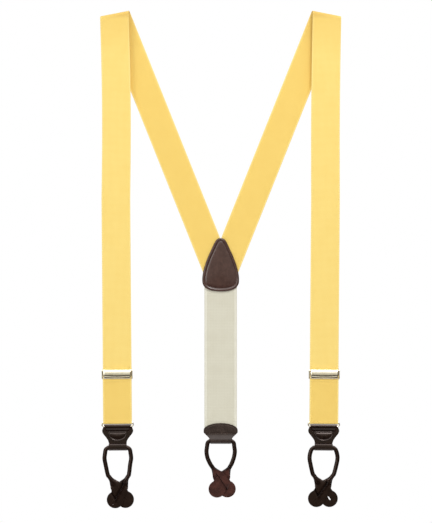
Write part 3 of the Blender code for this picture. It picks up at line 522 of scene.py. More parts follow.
def tab_leather(name, loop, which, finish, place):
    """One tab that opens out of the rolled cord into a flat disc.

    Each row starts at u0 along the tab and bulges by cos p in the middle, so that the last row is the disc's
    round end; across, v is the half width times sin p. Near the root the row is an arc of half angle q that
    opens flat as q falls to nothing. The middle column is doubled where a slit or buttonhole parts it.
    """
    tab = getattr(loop, which)
    length = tab["length"]
    closer = length - 12
    u0 = np.concatenate([np.linspace(-2.0, closer, 34)[:-1], np.linspace(closer, length, 26)])[:, None]
    bulge = DISC_RADIUS * smooth((u0 - 2) / (length - 2))**1.5
    columns = 13
    left = np.linspace(-math.pi / 2, 0, columns)
    p = np.concatenate([left, -left[::-1]])[None]
    half = np.concatenate([-np.ones(columns), np.ones(columns)])[None]
    u = u0 + bulge * np.cos(p)
    share = np.sin(p)
    root = ROLLED - TAB_THICK / 2
    wide = Loop.half_width(tab, np.maximum(u0, 0)) + (root - CORD_RADIUS) * (1 - smooth(u0 / 9))
    q = np.maximum(2.6 * (1 - smooth((u0 + 2) / 15)), 0.02)
    over = np.where(q > math.pi / 2, 1.0, np.sin(np.minimum(q, math.pi / 2)))
    v = wide * np.sin(share * q) / over
    curl = wide * (1 - np.cos(share * q)) / over
    closed, held_open, round_the_tab = 0.015, 0.75, 0.12
    size = held_open if name == "right_plain_tab" else closed
    slits = [(length - 0.45 * BUTTONHOLE, length + 0.35 * BUTTONHOLE, size)]
    if which == "slit":
        slits = [(loop.slit_top, loop.slit_foot, round_the_tab),
                 (loop.slit_foot + 2, loop.slit_foot + 2 + 0.7 * BUTTONHOLE, closed)]
    middle_u = (u0 + bulge)[:, 0]
    opening = sum(size * np.sqrt(np.clip(1 - ((middle_u - (a + b) / 2) / ((b - a) / 2))**2, 0, None))
                  for a, b, size in slits)
    pull = opening[:, None] * half * np.clip(1 - np.abs(share) / 0.45, 0, 1)**1.2
    x, z = loop.point(tab, u, v + pull)
    depth = loop.plain_height(x, z) if which == "plain" else loop.slit_height(x, z, u, half)
    lift = root * (1 - smooth(u / 12))
    y = depth + curl - lift
    rows = len(u0)
    number = np.arange(rows * 2 * columns).reshape(rows, 2 * columns)
    joined = opening <= 0
    number[joined, columns] = number[joined, columns - 1]
    quads = []
    for block in (number[:, :columns], number[:, columns:]):
        corners = [block[:-1, :-1], block[:-1, 1:], block[1:, 1:], block[1:, :-1]]
        quads.append(np.stack(corners, -1).reshape(-1, 4))
    faces = np.vstack(quads)
    used, faces = np.unique(faces, return_inverse=True)
    points = np.stack([x, y, z], -1).reshape(-1, 3)[used]
    piece = make(name, place(points), [faces.reshape(-1, 4)], finish, turned=True, crisp=80)
    thicken(piece, TAB_THICK, 0.2)
    return piece


# ---------------------------------------------------------------- adjuster cover

def lever_cover(side, name, finish):
    """Crowned cover rolled into a knuckle round its pin: one closed side profile carried across. Its foot
    turns in by a quarter of an ellipse, so do its two ends, and a shallow bowed groove is pressed into it."""
    outer, foot_height, end_width = LEVER_Y - LEVER_THICK, 1.5, 1.3
    shell = bowed((PIN_Y, PIN_ABOVE + KNUCKLE), (outer - LEVER_CROWN, PIN_ABOVE + KNUCKLE),
                  (outer, LEVER_FOOT + foot_height), 40)
    turn = np.linspace(0, math.pi / 2, 8)[1:]
    foot = np.column_stack([LEVER_Y - LEVER_THICK * np.cos(turn),
                            LEVER_FOOT + foot_height * (1 - np.sin(turn))])
    heel_start = arc((PIN_Y, PIN_ABOVE), KNUCKLE, -140, -140, 0)[0]
    lining = bowed((LEVER_Y, LEVER_FOOT), (LEVER_Y - LEVER_CROWN / 2, PIN_ABOVE), heel_start, 40)[2::2]
    heel = arc((PIN_Y, PIN_ABOVE), KNUCKLE, -125, 84, 20)
    profile = np.vstack([shell, foot, lining, heel])
    inset = np.array([0, 0.05, 0.16, 0.34, 0.6, 0.9, end_width])
    x = np.concatenate([inset - LEVER_HALF, np.linspace(2 - LEVER_HALF, LEVER_HALF - 2, 29),
                        (LEVER_HALF - inset)[::-1]])[:, None]
    y, z = profile[:, 0][None] + 0 * x, profile[:, 1][None] + 0 * x
    on_face = (np.arange(len(profile)) < len(shell))[None]
    groove = -2.0 - 0.9 * (1 - (x / LEVER_HALF)**2)
    press = 0.22 * np.exp(-((z - groove) / 0.55)**2) * smooth((LEVER_HALF - np.abs(x) - 0.6) / 1.2)
    near_end = np.clip(1 - (LEVER_HALF - np.abs(x)) / end_width, 0, 1)
    ends_back = 0.6 * (1 - np.sqrt(1 - near_end**2))
    y = y + on_face * (press + ends_back)
    rows, columns = y.shape
    points = front_place(side, 0, ADJUSTER_DROP)(np.stack([x + 0 * y, y, z], -1))
    faces = [lattice(rows, columns, wrapped=True), *end_caps(rows, columns)]
    piece = make(name, points, faces, finish, crisp=50)
    ease = piece.modifiers.new("eased_edges", "BEVEL")
    ease.width, ease.segments = 0.14 * MM, 2
    ease.limit_method, ease.angle_limit = "ANGLE", math.radians(60)
    return piece


# ---------------------------------------------------------------- stitches

def stitches(name, path, out, pitch, long, round_, finish, place):
    """Thread stitches along a path: each an ellipsoid, long along the path, sunk half into the surface."""
    path = np.asarray(path, float)
    step = np.concatenate([[0], np.cumsum(np.linalg.norm(np.diff(path, axis=0), axis=1))])
    count = max(int(step[-1] / pitch), 1)
    spots = (np.arange(count) + 0.5) * step[-1] / count
    at = lambda distance: np.stack([np.interp(distance, step, path[:, k]) for k in range(3)], -1)
    centre = at(spots)
    run = unit(at(spots + 0.05) - at(spots - 0.05))
    out = np.broadcast_to(np.asarray(out, float), run.shape)
    beside = unit(np.cross(run, out))
    a = np.linspace(0, math.pi, 7)[1:-1][:, None]
    b = np.linspace(0, 2 * math.pi, 6, endpoint=False)[None]
    body = np.stack([long / 2 * np.cos(a) + 0 * b, round_ * np.sin(a) * np.cos(b),
                     round_ * np.sin(a) * np.sin(b)], -1)
    body = np.vstack([body.reshape(-1, 3), [[long / 2, 0, 0], [-long / 2, 0, 0]]])
    quads = lattice(5, 6, wrapped=True)
    k = np.arange(6)
    tips = np.vstack([np.stack([(k + 1) % 6, k, np.full(6, 30)], 1),
                      np.stack([24 + k, 24 + (k + 1) % 6, np.full(6, 31)], 1)])
    points = (centre[:, None] + run[:, None] * body[None, :, :1] + out[:, None] * body[None, :, 1:2]
              + beside[:, None] * body[None, :, 2:])
    shift = (np.arange(count) * len(body))[:, None, None]
    faces = [(ring[None] + shift).reshape(-1, ring.shape[1]) for ring in (quads, tips)]
    return make(name, place(points.reshape(-1, 3)), faces, finish, crisp=180)


# ---------------------------------------------------------------- material bench

def srgb(red, green, blue):
    """A colour named by its screen values, as light values."""
    c = np.array([red, green, blue]) / 255
    return (*np.where(c <= 0.04045, c / 12.92, ((c + 0.055) / 1.055)**2.4), 1.0)


class Bench:
    """Lays out nodes in one tree; a value given for a socket is linked if it is a socket, else set."""

    def __init__(self, tree):
        self.tree = tree

    def node(self, kind, *values, **settings):
        made = self.tree.nodes.new(kind)
        for key, value in settings.items():
            setattr(made, key, value)
        for socket, value in enumerate(values):
            self.give(made.inputs[socket], value)
        return made

    def give(self, socket, value):
        if isinstance(value, bpy.types.NodeSocket):
            self.tree.links.new(value, socket)
        elif value is not None:
            socket.default_value = value

    def math(self, operation, *values):
        return self.node("ShaderNodeMath", *values, operation=operation).outputs[0]

    def ramp(self, value, low, high, start=0.0, end=1.0):
        """Eases from start to end as the value goes from low to high."""
        made = self.node("ShaderNodeMapRange", value, low, high, start, end, interpolation_type="SMOOTHSTEP")
        return made.outputs[0]

    def blend(self, share, first, second):
        """Between two colours."""
        made = self.node("ShaderNodeMix", data_type="RGBA")
        for socket, value in ((0, share), (6, first), (7, second)):
            self.give(made.inputs[socket], value)
        return made.outputs[2]

    def between(self, share, first, second):
        """Between two numbers."""
        made = self.node("ShaderNodeMix", data_type="FLOAT")
        for socket, value in ((0, share), (2, first), (3, second)):
            self.give(made.inputs[socket], value)
        return made.outputs[0]

    def fill(self, made, **values):
        """Gives the node's sockets their values by name, an underscore for a space; returns its outputs."""
        for key, value in values.items():
            self.give(made.inputs[key.replace("_", " ")], value)
        return made.outputs

    def noise(self, vector, scale, detail=2.0, rough=0.5):
        made = self.node("ShaderNodeTexNoise")
        return self.fill(made, Vector=vector, Scale=scale, Detail=detail, Roughness=rough)["Fac"]

    def group(self, tree, **values):
        return self.fill(self.node("ShaderNodeGroup", node_tree=tree), **values)


def effect(name, inputs, outputs):
    """An empty node group with named sockets: returns its tree, bench, input sockets and output node."""
    tree = bpy.data.node_groups.new(name, "ShaderNodeTree")
    for key, kind, value in inputs:
        socket = tree.interface.new_socket(key, in_out="INPUT", socket_type=kind)
        if value is not None:
            socket.default_value = value
    for key in outputs:
        tree.interface.new_socket(key, in_out="OUTPUT", socket_type="NodeSocketFloat")
    bench = Bench(tree)
    return tree, bench, bench.node("NodeGroupInput").outputs, bench.node("NodeGroupOutput")


FLOAT, VECTOR = "NodeSocketFloat", "NodeSocketVector"


def weave_effect():
    """Cloth in UV millimetres. Ribs run across the strip; Diamonds are half the difference of two cosines,
    one across and one along; Inner is 1 on the inner face; Edge is the distance in from the selvedge."""
    tree, b, given, out = effect("woven_strip", [("Vector", VECTOR, None), ("Rib", FLOAT, 1.0),
                                                 ("Diamond", FLOAT, 2.4), ("Half", FLOAT, 17.5)],
                                 ["Ribs", "Diamonds", "Inner", "Edge", "Along", "Dashes"])

    def wave(value, pitch):
        return b.math("COSINE", b.math("MULTIPLY", b.math("DIVIDE", value, pitch), 2 * math.pi))

    parts = b.node("ShaderNodeSeparateXYZ", given["Vector"]).outputs
    inner = b.math("GREATER_THAN", parts[0], 50.0)
    across = b.math("SUBTRACT", parts[0], b.math("MULTIPLY", inner, 100.0))
    diamonds = b.math("SUBTRACT", wave(parts[1], given["Diamond"]), wave(across, given["Diamond"]))
    b.fill(out, Ribs=b.math("MULTIPLY_ADD", wave(parts[1], given["Rib"]), 0.5, 0.5),
           Diamonds=b.math("MULTIPLY_ADD", diamonds, 0.25, 0.5), Inner=inner,
           Edge=b.math("SUBTRACT", given["Half"], b.math("ABSOLUTE", across)), Along=parts[1],
           Dashes=b.math("MULTIPLY_ADD", wave(parts[1], 2.1), 0.5, 0.5))
    return tree


def grain_effect():
    """Leather grain: pebbles from cell distance, softened by fine noise; Tone is slow, uneven dye."""
    tree, b, given, out = effect("leather_grain", [("Vector", VECTOR, None), ("Pebble", FLOAT, 900.0)],
                                 ["Height", "Tone", "Rub"])
    cells = b.fill(b.node("ShaderNodeTexVoronoi", feature="SMOOTH_F1"), Vector=given["Vector"],
                   Scale=given["Pebble"], Smoothness=0.6)
    fine = b.noise(given["Vector"], b.math("MULTIPLY", given["Pebble"], 2.3), 3.0, 0.6)
    b.fill(out, Height=b.between(0.35, b.math("SUBTRACT", 1.0, cells["Distance"]), fine),
           Tone=b.ramp(b.noise(given["Vector"], 140.0, 4.0, 0.6), 0.3, 0.7),
           Rub=b.ramp(b.noise(given["Vector"], 420.0, 5.0, 0.65), 0.48, 0.72))
    return tree


def wear_effect():
    """Handled metal: Smudge is where fingers dulled it, Scratch very fine lines that run across the piece."""
    tree, b, given, out = effect("handled", [("Vector", VECTOR, None), ("Size", FLOAT, 300.0)],
                                 ["Smudge", "Scratch"])
    stretched = b.fill(b.node("ShaderNodeMapping"), Vector=given["Vector"], Scale=(0.12, 1.0, 1.0))[0]
    b.fill(out, Smudge=b.ramp(b.noise(given["Vector"], given["Size"], 3.0, 0.6), 0.35, 0.7),
           Scratch=b.ramp(b.noise(stretched, 2600.0, 2.0, 0.5), 0.45, 0.75))
    return tree


def material(name, roughness=0.5, metallic=0.0, **sockets):
    """A Principled material, its even values set on its own sockets: returns it, its bench and its shader."""
    made = bpy.data.materials.new(name)
    made.use_nodes = True
    shader = made.node_tree.nodes["Principled BSDF"]
    shader.inputs["Roughness"].default_value = roughness
    shader.inputs["Metallic"].default_value = metallic
    for key, value in sockets.items():
        shader.inputs[key.replace("_", " ")].default_value = value
    return made, Bench(made.node_tree), shader


def bump(b, shader, height, depth, strength=1.0):
    made = b.fill(b.node("ShaderNodeBump"), Strength=strength, Distance=depth * MM, Height=height)
    b.give(shader.inputs["Normal"], made[0])


def object_spot(b):
    return b.node("ShaderNodeTexCoord").outputs["Object"]


def ribbon_material(weave):
    """Primrose grosgrain: diamonds outside, fine cross ribs inside, paler selvedges, and painted shade that
    deepens the colour towards the fold.
    """
    made, b, shader = material("primrose_ribbon", 0.72, Sheen_Weight=0.08, Sheen_Roughness=0.5,
                               Specular_IOR_Level=0.25)
    cloth = b.group(weave, Vector=b.node("ShaderNodeUVMap", uv_map="weave").outputs[0], Rib=0.85, Diamond=1.4,
                    Half=RIBBON_HALF)
    selvedge = b.ramp(cloth["Edge"], 1.9, 1.4)
    outside = b.blend(b.ramp(cloth["Diamonds"], 0.25, 0.75), srgb(241, 208, 112), srgb(250, 223, 136))
    inside = b.blend(b.ramp(cloth["Ribs"], 0.2, 0.8), srgb(243, 205, 102), srgb(251, 218, 124))
    colour = b.blend(cloth["Inner"], outside, inside)
    pale = b.blend(cloth["Dashes"], srgb(242, 212, 118), srgb(254, 234, 160))
    colour = b.blend(b.math("MULTIPLY", selvedge, 0.75), colour, pale)
    spot = object_spot(b)
    dye = b.ramp(b.noise(spot, 60.0, 3.0), 0.35, 0.7)
    # Besides the random dye, two bands of painted shade darken the ribbon towards the fold: a broad one and a
    # deeper one at the fold's crest.
    from_fold = b.math("ABSOLUTE", b.math("SUBTRACT", cloth["Along"], 5.6))
    for share, weight, tone in ((dye, 0.10, srgb(238, 196, 92)),
                                (b.ramp(from_fold, 60.0, 8.0), 0.35, srgb(226, 186, 92)),
                                (b.ramp(from_fold, 10.0, 2.0), 0.42, srgb(206, 162, 76))):
        colour = b.blend(b.math("MULTIPLY", share, weight), colour, tone)
    b.fill(shader, Base_Color=colour, Roughness=b.between(b.noise(spot, 900.0), 0.62, 0.85))
    height = b.between(cloth["Inner"], cloth["Diamonds"], cloth["Ribs"])
    height = b.between(selvedge, height, b.math("MULTIPLY_ADD", cloth["Dashes"], 0.5, 0.4))
    bump(b, shader, height, 0.22, 0.8)
    return made


def elastic_material(weave):
    """Undyed elastic webbing: close cross ribs, a faint diamond over them, a paler stripe inside each edge."""
    made, b, shader = material("ecru_elastic", 0.85, Sheen_Weight=0.2, Specular_IOR_Level=0.25)
    cloth = b.group(weave, Vector=b.node("ShaderNodeUVMap", uv_map="weave").outputs[0], Rib=1.3, Diamond=1.9,
                    Half=ELASTIC_HALF)
    spot = object_spot(b)
    colour = b.blend(cloth["Ribs"], srgb(206, 202, 182), srgb(224, 221, 204))
    stripe = b.math("MULTIPLY", b.ramp(cloth["Edge"], 0.4, 1.0), b.ramp(cloth["Edge"], 3.4, 2.6))
    for share, weight, tone in ((b.ramp(cloth["Diamonds"], 0.3, 0.8), 0.25, srgb(196, 191, 168)),
                                (stripe, 0.55, srgb(236, 234, 220)),
                                (b.ramp(b.noise(spot, 70.0, 3.0), 0.4, 0.7), 0.10, srgb(190, 182, 158))):
        colour = b.blend(b.math("MULTIPLY", share, weight), colour, tone)
    b.fill(shader, Base_Color=colour, Roughness=b.between(b.noise(spot, 800.0), 0.75, 0.92))
    bump(b, shader, b.between(0.35, cloth["Ribs"], cloth["Diamonds"]), 0.25, 0.8)
    return made


def grain_material(name, grain, tones, gloss, pebble=900.0, relief=0.02, **sockets):
    """Finished grain: dye that pools unevenly between the first two tones, pebbles in the surface, the third
    tone where it is handled."""
    made, b, shader = material(name, gloss, Coat_Roughness=0.16, **sockets)
    spot = object_spot(b)
    hide = b.group(grain, Vector=spot, Pebble=pebble)
    colour = b.blend(hide["Tone"], tones[0], tones[1])
    colour = b.blend(b.math("MULTIPLY", hide["Rub"], 0.4), colour, tones[2])
    b.fill(shader, Base_Color=colour, Roughness=b.between(hide["Rub"], gloss - 0.05, gloss + 0.14))
    bump(b, shader, hide["Height"], relief, 0.4)
    return made


def flesh_material(name, grain, dark, light):
    """Suede side: short nap, no shine, mottled."""
    made, b, shader = material(name, 0.95, Sheen_Weight=0.12, Sheen_Roughness=0.6, Specular_IOR_Level=0.12)
    spot = object_spot(b)
    nap = b.noise(spot, 2600.0, 4.0, 0.7)
    hide = b.group(grain, Vector=spot, Pebble=500.0)
    colour = b.blend(hide["Tone"], dark, light)
    colour = b.blend(b.math("MULTIPLY", b.ramp(nap, 0.45, 0.75), 0.35), colour, light)
    b.give(shader.inputs["Base Color"], colour)
    bump(b, shader, nap, 0.25, 0.7)
    return made


def edge_material(name, grain, colour_low, colour_high):
    """Inked and burnished cut edge with a faint fibre line."""
    made, b, shader = material(name, 0.45, Specular_IOR_Level=0.45)
    spot = object_spot(b)
    hide = b.group(grain, Vector=spot, Pebble=1500.0)
    b.fill(shader, Base_Color=b.blend(hide["Rub"], colour_low, colour_high),
           Roughness=b.between(hide["Tone"], 0.38, 0.6))
    bump(b, shader, hide["Height"], 0.1, 0.5)
    return made


def nickel_material(name, handled, tint, shade, low, high):
    """Plated brass: warm nickel, smudged where fingers touch it, with very fine lengthwise scratches."""
    made, b, shader = material(name, low, 1.0)
    spot = object_spot(b)
    marks = b.group(handled, Vector=spot, Size=260.0)
    rough = b.between(marks["Smudge"], low, high)
    b.fill(shader, Base_Color=b.blend(marks["Smudge"], tint, shade),
           Roughness=b.math("MULTIPLY_ADD", marks["Scratch"], 0.05, rough))
    bump(b, shader, marks["Scratch"], 0.01, 0.4)
    return made


def thread_material(name, low, high):
    """Twisted waxed thread: slanting strands."""
    made, b, shader = material(name, 0.6, Sheen_Weight=0.2)
    twist = b.node("ShaderNodeTexWave", bands_direction="DIAGONAL")
    strands = b.fill(twist, Vector=object_spot(b), Scale=900.0)["Fac"]
    b.fill(shader, Base_Color=b.blend(strands, low, high), Roughness=b.between(strands, 0.5, 0.7))
    bump(b, shader, strands, 0.08, 0.6)
    return made


weave, grain, handled = weave_effect(), grain_effect(), wear_effect()
RIBBON = ribbon_material(weave)
ELASTIC = elastic_material(weave)
DARK_TONES = [srgb(19, 11, 8), srgb(28, 17, 13), srgb(40, 27, 22)]
WARM_TINT = (0.38, 0.22, 0.16, 1)
END_GRAIN = grain_material("dark_end_grain", grain, DARK_TONES, 0.24, Specular_IOR_Level=0.5,
                           Specular_Tint=WARM_TINT, Coat_Weight=0.5)
LOOP_GRAIN = grain_material("dark_loop_grain", grain, DARK_TONES, 0.26, Specular_IOR_Level=0.5,
                            Specular_Tint=WARM_TINT, Coat_Weight=0.22)
PATCH_TONES = [srgb(62, 40, 34), srgb(74, 50, 43), srgb(86, 62, 55)]
PATCH_GRAIN = grain_material("brown_grain", grain, PATCH_TONES, 0.36, 700.0, 0.03, Specular_IOR_Level=0.26,
                             Coat_Weight=0.4)
UMBER_TONES = [srgb(42, 30, 26), srgb(54, 41, 36), srgb(66, 52, 46)]
UMBER_GRAIN = grain_material("umber_grain", grain, UMBER_TONES, 0.32, 800.0, 0.03, Specular_IOR_Level=0.26,
                             Coat_Weight=0.25)
SUEDE = flesh_material("brown_suede", grain, srgb(52, 26, 20), srgb(76, 42, 34))
DARK_EDGE = edge_material("inked_edge", grain, srgb(16, 12, 11), srgb(34, 26, 23))
BROWN_EDGE = edge_material("brown_edge", grain, srgb(44, 28, 24), srgb(66, 48, 42))
LEVER_NICKEL = nickel_material("polished_nickel", handled, srgb(244, 238, 222), srgb(232, 222, 198), 0.14,
                               0.24)
WIRE_NICKEL = nickel_material("nickel_wire", handled, srgb(238, 232, 220), srgb(214, 205, 186), 0.18, 0.32)
DARK_THREAD = thread_material("dark_thread", srgb(34, 27, 24), srgb(70, 58, 52))
BROWN_THREAD = thread_material("brown_thread", srgb(52, 38, 33), srgb(96, 76, 66))
RIBBON_THREAD = thread_material("primrose_thread", srgb(214, 172, 84), srgb(250, 224, 140))
END_LEATHER = (END_GRAIN, SUEDE, DARK_EDGE)
TAB_LEATHER = (LOOP_GRAIN, SUEDE, DARK_EDGE)
BACK_LEATHER = (UMBER_GRAIN, SUEDE, BROWN_EDGE)


# ---------------------------------------------------------------- what stands for what

def settle(piece, slot, body, *nodes):
    """The piece stands for the frame's nodes, which it hides, and moves with the body; the slot is not used.
    """
    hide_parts(*nodes)
    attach(piece, body)


def sew(name, path, outward, pitch, long, round_, thread, place, body):
    """A row of stitches that moves with the body; outward is the way that the surface faces, along Y."""
    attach(stitches(name, path, (0, outward, 0), pitch, long, round_, thread, place), body)


def inside_outline(loop, inset, y):
    """The outline moved in by the inset, closed, at depth y."""
    moved = loop - loop_normals(loop) * inset
    moved = np.vstack([moved, moved[:1]])
    return np.column_stack([moved[:, 0], np.full(len(moved), y), moved[:, 1]])


# ---------------------------------------------------------------- the back

def dress_back():
    loop = patch_outline()
    face, crease = 0.62, 3.85
    rim = [(2.0, 0.0), (0.25, 0.0), (0.0, 0.3), (0.0, 0.9), (0.2, 1.45), (0.6, 1.9), (1.2, 2.2), (1.9, 2.28),
           (2.6, 2.1), (3.2, 1.7), (3.6, 1.36), (crease, 1.26), (4.1, 1.33), (4.6, 1.55), (5.4, 1.78)]
    place = back_place(BACK_DROP)
    for name, node, outward in (("patch_front", "patch_inner", -1), ("patch_back", "patch_outer", 1)):
        piece = plate(name, loop, rim, 2.7, PATCH_GRAIN, place, (0, 8.0), outward * face, outward)
        settle(piece, "brown_leather", "root", node)
        path = inside_outline(loop, crease, outward * (face + 1.24))
        sew(name + "_stitches", path, outward, 2.6, 2.1, 0.24, BROWN_THREAD, place, "root")

    webbing = elastic_strip(ELASTIC)
    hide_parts("elastic")
    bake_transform(webbing)

    place = back_place(BACK_TUNNEL)
    leather = leather_rows("back_end_leather", back_leather_rows(), 33, BACK_LEATHER, place, LEATHER, True)
    settle(leather, "brown_leather", "back_end_body", "back_leather")
    face = 1.45 + LEATHER / 2
    p = np.radians(np.linspace(-74, 74, 60))
    for outward, label in ((-1, "front"), (1, "back")):
        depth = np.full(60, outward * face)
        arch = np.column_stack([18.9 * np.sin(p), depth, BACK_LEAF - 2.2 - 8.0 * (1 - np.cos(p))])
        row = np.column_stack([np.linspace(-14.5, 14.5, 30), depth[:30], np.full(30, 8.9)])
        for kind, path in (("arch", arch), ("row", row)):
            sew(f"back_end_{kind}_{label}", path, outward, 2.3, 1.8, 0.26, BROWN_THREAD, place,
                "back_end_body")


# ---------------------------------------------------------------- the fronts

def dress_front(side, name):
    dress_ribbon(side, name)
    place = front_place(side)
    tail_middle = -ADJUSTER_DROP - BAR_BELOW - 6.0
    across = np.linspace(-15.6, 15.6, 40)
    sewn = np.column_stack([across, np.full(40, RUN_Y - 0.42), np.full(40, tail_middle)])
    sew("sewn_end_" + name, sewn, -1, 2.2, 1.7, 0.22, RIBBON_THREAD, place, "adjuster_body_" + name)

    cover = lever_cover(side, "adjuster_cover_" + name, LEVER_NICKEL)
    settle(cover, "nickel", "lever_body_" + name, "adjuster_lever_" + name)
    for node in ("adjuster_frame_", "adjuster_bar_", "adjuster_pin_"):
        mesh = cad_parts[node + name].data
        mesh.materials.clear()
        mesh.materials.append(WIRE_NICKEL)

    place = front_place(side, RING_Y, FRONT_DROP)
    ring = planar_tube("ring_" + name, ring_path(), WIRE, 18, WIRE_NICKEL, place, closed=True)
    settle(ring, "nickel", "ring_body_" + name, "end_ring_" + name)

    place = front_place(side, RING_Y, FRONT_DROP + RING_HEIGHT)
    body = "leather_end_body_" + name
    strip = leather_rows("end_strip_" + name, end_strip_rows(), 25, END_LEATHER, place, LEATHER)
    front = facing(side, "end_shoulders_" + name, END_LEATHER)
    loop, groove = flap_outline(), 1.65
    rim = [(1.0, 0.0), (0.2, 0.0), (0.0, 0.15), (0.0, 0.75), (0.12, 1.02), (0.45, 1.22), (0.95, 1.3),
           (1.35, 1.14), (groove, 0.9), (1.95, 1.08), (2.3, 1.28)]
    flap = plate("end_half_round_" + name, loop, rim, 1.75, END_GRAIN, place, (0, -FLAP_TOP - 5.0), -2.02, -1)
    for piece, node in ((strip, "end_leather_"), (front, "end_facing_"), (flap, "end_flap_")):
        settle(piece, "dark_leather", body, node + name)
    path = inside_outline(loop, groove, -2.98)
    sew("flap_stitches_" + name, path, -1, 1.9, 1.45, 0.2, DARK_THREAD, place, body)


def dress_ribbon(side, name):
    """The ribbon in four lengths: over the shoulder, down to the ring, round it, and up to the adjuster."""
    at = lambda y, z: tuple(front_place(side)((0, y, z)) * MM)
    strap, turning, adjuster = "front_strap_body_" + name, "ribbon_turn_body_" + name, "adjuster_body_" + name
    upper = upper_ribbon(side, "ribbon_upper_" + name, RIBBON)
    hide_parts("back_strap_" + name, "shoulder_bend_" + name, "front_strap_" + name)
    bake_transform(upper)

    down = line((-FOLD_RADIUS, -FIRM_END), (-FOLD_RADIUS, -TURN_TOP), 60)
    lower, along = hanging_ribbon(side, "ribbon_lower_" + name, down, FOLD_LENGTH + FIRM_END, RIBBON)
    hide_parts("lower_run_" + name)
    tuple(at(-3.5, -292))
    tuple(at(-3.5, -487))
    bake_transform(lower)

    front_y = RING_Y - TURN_RADIUS
    bend = np.vstack([line((-FOLD_RADIUS, -TURN_TOP), (-FOLD_RADIUS, -FRONT_DROP), 6)[:-1],
                      arc((RING_Y, -FRONT_DROP), TURN_RADIUS, 0, -180, 20),
                      line((front_y, -FRONT_DROP), (front_y, -TURN_TOP), 6)[1:]])
    turn, turned = hanging_ribbon(side, "ribbon_turn_at_ring_" + name, bend, along, RIBBON)
    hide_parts("ribbon_turn_" + name)
    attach(turn, turning)

    bar_z = -ADJUSTER_DROP - BAR_BELOW
    up = np.vstack([line((front_y, -TURN_TOP), (RUN_Y, bar_z), 24)[:-1],
                    arc((BAR_Y, bar_z), BAR_WRAP, 180, 0, 16),
                    line((TAIL_Y, bar_z), (TAIL_Y, bar_z - 8.5), 5)[1:]])
    run, finished = hanging_ribbon(side, "ribbon_front_" + name, up, turned, RIBBON)
    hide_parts("front_run_" + name)
    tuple(at(-6.8, -487))
    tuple(at(-7.4, -452))
    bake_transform(run)


# ---------------------------------------------------------------- button loops

def dress_loop(name, place, body, prefix, tunnel_half, slot):
    loop = Loop(name)
    route = cord_route(loop, tunnel_half)
    step = np.concatenate([[0], np.cumsum(np.linalg.norm(np.diff(route, axis=0), axis=1))])
    near_end = np.minimum(step, step[-1] - step)
    radius = ROLLED * (1 - 0.16 * (1 - smooth(near_end / 3)))
    cord = planar_tube(prefix + "rolled_cord", route, radius, 22, LOOP_GRAIN, place, seam=0.12)
    settle(cord, slot, body, prefix + "loop_cord")
    world = place(np.column_stack([route[:, 0], np.zeros(len(route)), route[:, 1]])) * MM
    for which in ("slit", "plain"):
        piece = tab_leather(f"{prefix}{which}_tab", loop, which, TAB_LEATHER, place)
        settle(piece, slot, body, f"{prefix}tab_{which}")


dress_back()
for side, name in ((-1, "left"), (1, "right")):
    dress_front(side, name)
    loop_place = front_place(side, RING_Y, FRONT_DROP + RING_HEIGHT + TUNNEL_DROP)
    dress_loop(name, loop_place, "button_loop_body_" + name, name + "_", TUNNEL_HALF, "dark_leather")
dress_loop("back", back_place(BACK_TUNNEL, half_turn=True), "back_loop_body", "back_", BACK_TUNNEL_HALF,
           "dark_leather")


# ---------------------------------------------------------------- floor, light and camera

def set_stage():
    """Pale floor well below the braces, out of the camera's first view."""
    half, level = 1.3, -1.6
    t = np.linspace(-half, half, 9)
    x, y = np.meshgrid(t, t)
    points = np.stack([x, y, np.full_like(x, level)], -1) / MM
    made, b, shader = material("pale_floor", 0.9, Specular_IOR_Level=0.1)
    spot = object_spot(b)
    b.give(shader.inputs["Base Color"], b.blend(b.noise(spot, 3.0), srgb(238, 238, 238), srgb(244, 244, 243)))
    floor = make("floor", points, [lattice(9, 9)], made, turned=False)


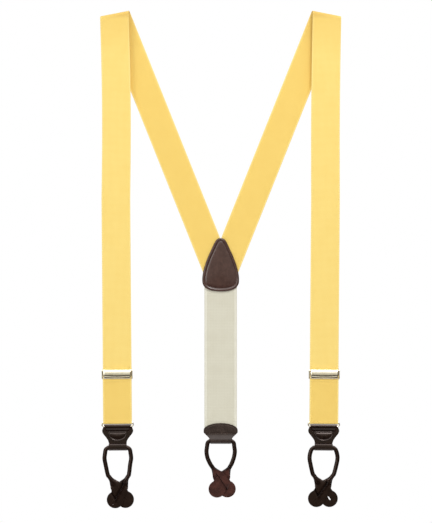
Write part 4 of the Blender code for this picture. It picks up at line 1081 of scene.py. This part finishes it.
def set_world():
    """White to the eye. What the pieces see is bright above, cream level with them, dim below and at both
    sides, with one soft window to the front left."""
    world = bpy.data.worlds.new("studio")
    bpy.context.scene.world = world
    world.use_nodes = True
    b = Bench(world.node_tree)
    for node in list(world.node_tree.nodes):
        world.node_tree.nodes.remove(node)
    way = b.node("ShaderNodeTexCoord").outputs["Generated"]
    aside, _, up = b.node("ShaderNodeSeparateXYZ", way).outputs
    rays = b.node("ShaderNodeLightPath").outputs
    lit = b.blend(b.ramp(up, -0.8, 0.8), (0.60, 0.59, 0.58, 1), (0.84, 0.84, 0.84, 1))
    sky = b.node("ShaderNodeValToRGB", b.math("MULTIPLY_ADD", up, 0.5, 0.5))
    stops = ((0.0, (0.03, 0.02, 0.015)), (0.36, (0.04, 0.03, 0.025)), (0.42, (0.22, 0.19, 0.15)),
             (0.47, (0.60, 0.58, 0.49)), (0.50, (0.66, 0.64, 0.55)), (0.56, (0.80, 0.78, 0.69)),
             (0.63, (0.9, 0.9, 0.84)), (0.70, (1.7, 1.7, 1.65)), (0.78, (3.2, 3.2, 3.2)),
             (0.9, (3.6, 3.6, 3.6)), (1.0, (2.0, 2.0, 2.0)))
    for k, (place, colour) in enumerate(stops):
        stop = sky.color_ramp.elements[k] if k < 2 else sky.color_ramp.elements.new(place)
        stop.position, stop.color = place, (*colour, 1)
    shine = b.blend(b.ramp(b.math("ABSOLUTE", aside), 0.45, 0.85), sky.outputs[0], (0.05, 0.04, 0.035, 1))
    to_window = b.node("ShaderNodeVectorMath", way, (-0.64, -0.76, 0.1), operation="DOT_PRODUCT")
    shine = b.blend(b.ramp(to_window.outputs["Value"], 0.94, 0.985), shine, (3.4, 3.4, 3.3, 1))
    felt = b.blend(rays["Is Glossy Ray"], lit, shine)
    seen = b.node("ShaderNodeBackground", b.blend(rays["Is Camera Ray"], felt, (1, 1, 1, 1)), 1.0)
    b.node("ShaderNodeOutputWorld", seen.outputs[0])


def set_light(name, location, target, size, power):
    data = bpy.data.lights.new(name, "AREA")
    data.shape, data.size, data.size_y, data.energy = "RECTANGLE", size[0], size[1], power
    lamp = bpy.data.objects.new(name, data)
    bpy.context.scene.collection.objects.link(lamp)
    lamp.location = location
    direction = np.array(target) - np.array(location)
    lamp.rotation_euler = Vector(direction).to_track_quat("-Z", "Y").to_euler()


def set_camera():
    """Square on to the hanging braces, from far enough to look almost flat."""
    distance, frame_height = 2.5, 0.638
    data = bpy.data.cameras.new("camera")
    data.sensor_width = 36
    data.lens = data.sensor_width * distance / frame_height
    data.clip_start, data.clip_end = 0.05, 50
    camera = bpy.data.objects.new("camera", data)
    bpy.context.scene.collection.objects.link(camera)
    camera.location = (-0.0057, -distance, -0.2989)
    camera.rotation_euler = (math.pi / 2, 0, 0)
    bpy.context.scene.camera = camera


set_stage()
set_world()
set_light("key", (0.5, -1.3, 1.3), (0, 0, -0.3), (0.7, 0.5), 18)
set_light("fill", (-1.5, -1.4, 0.2), (0, 0, -0.3), (0.6, 1.2), 6)
set_light("rim", (0.2, 1.6, 1.0), (0, 0, -0.3), (1.6, 0.8), 8)
set_camera()
bpy.context.scene.view_settings.view_transform = "Standard"
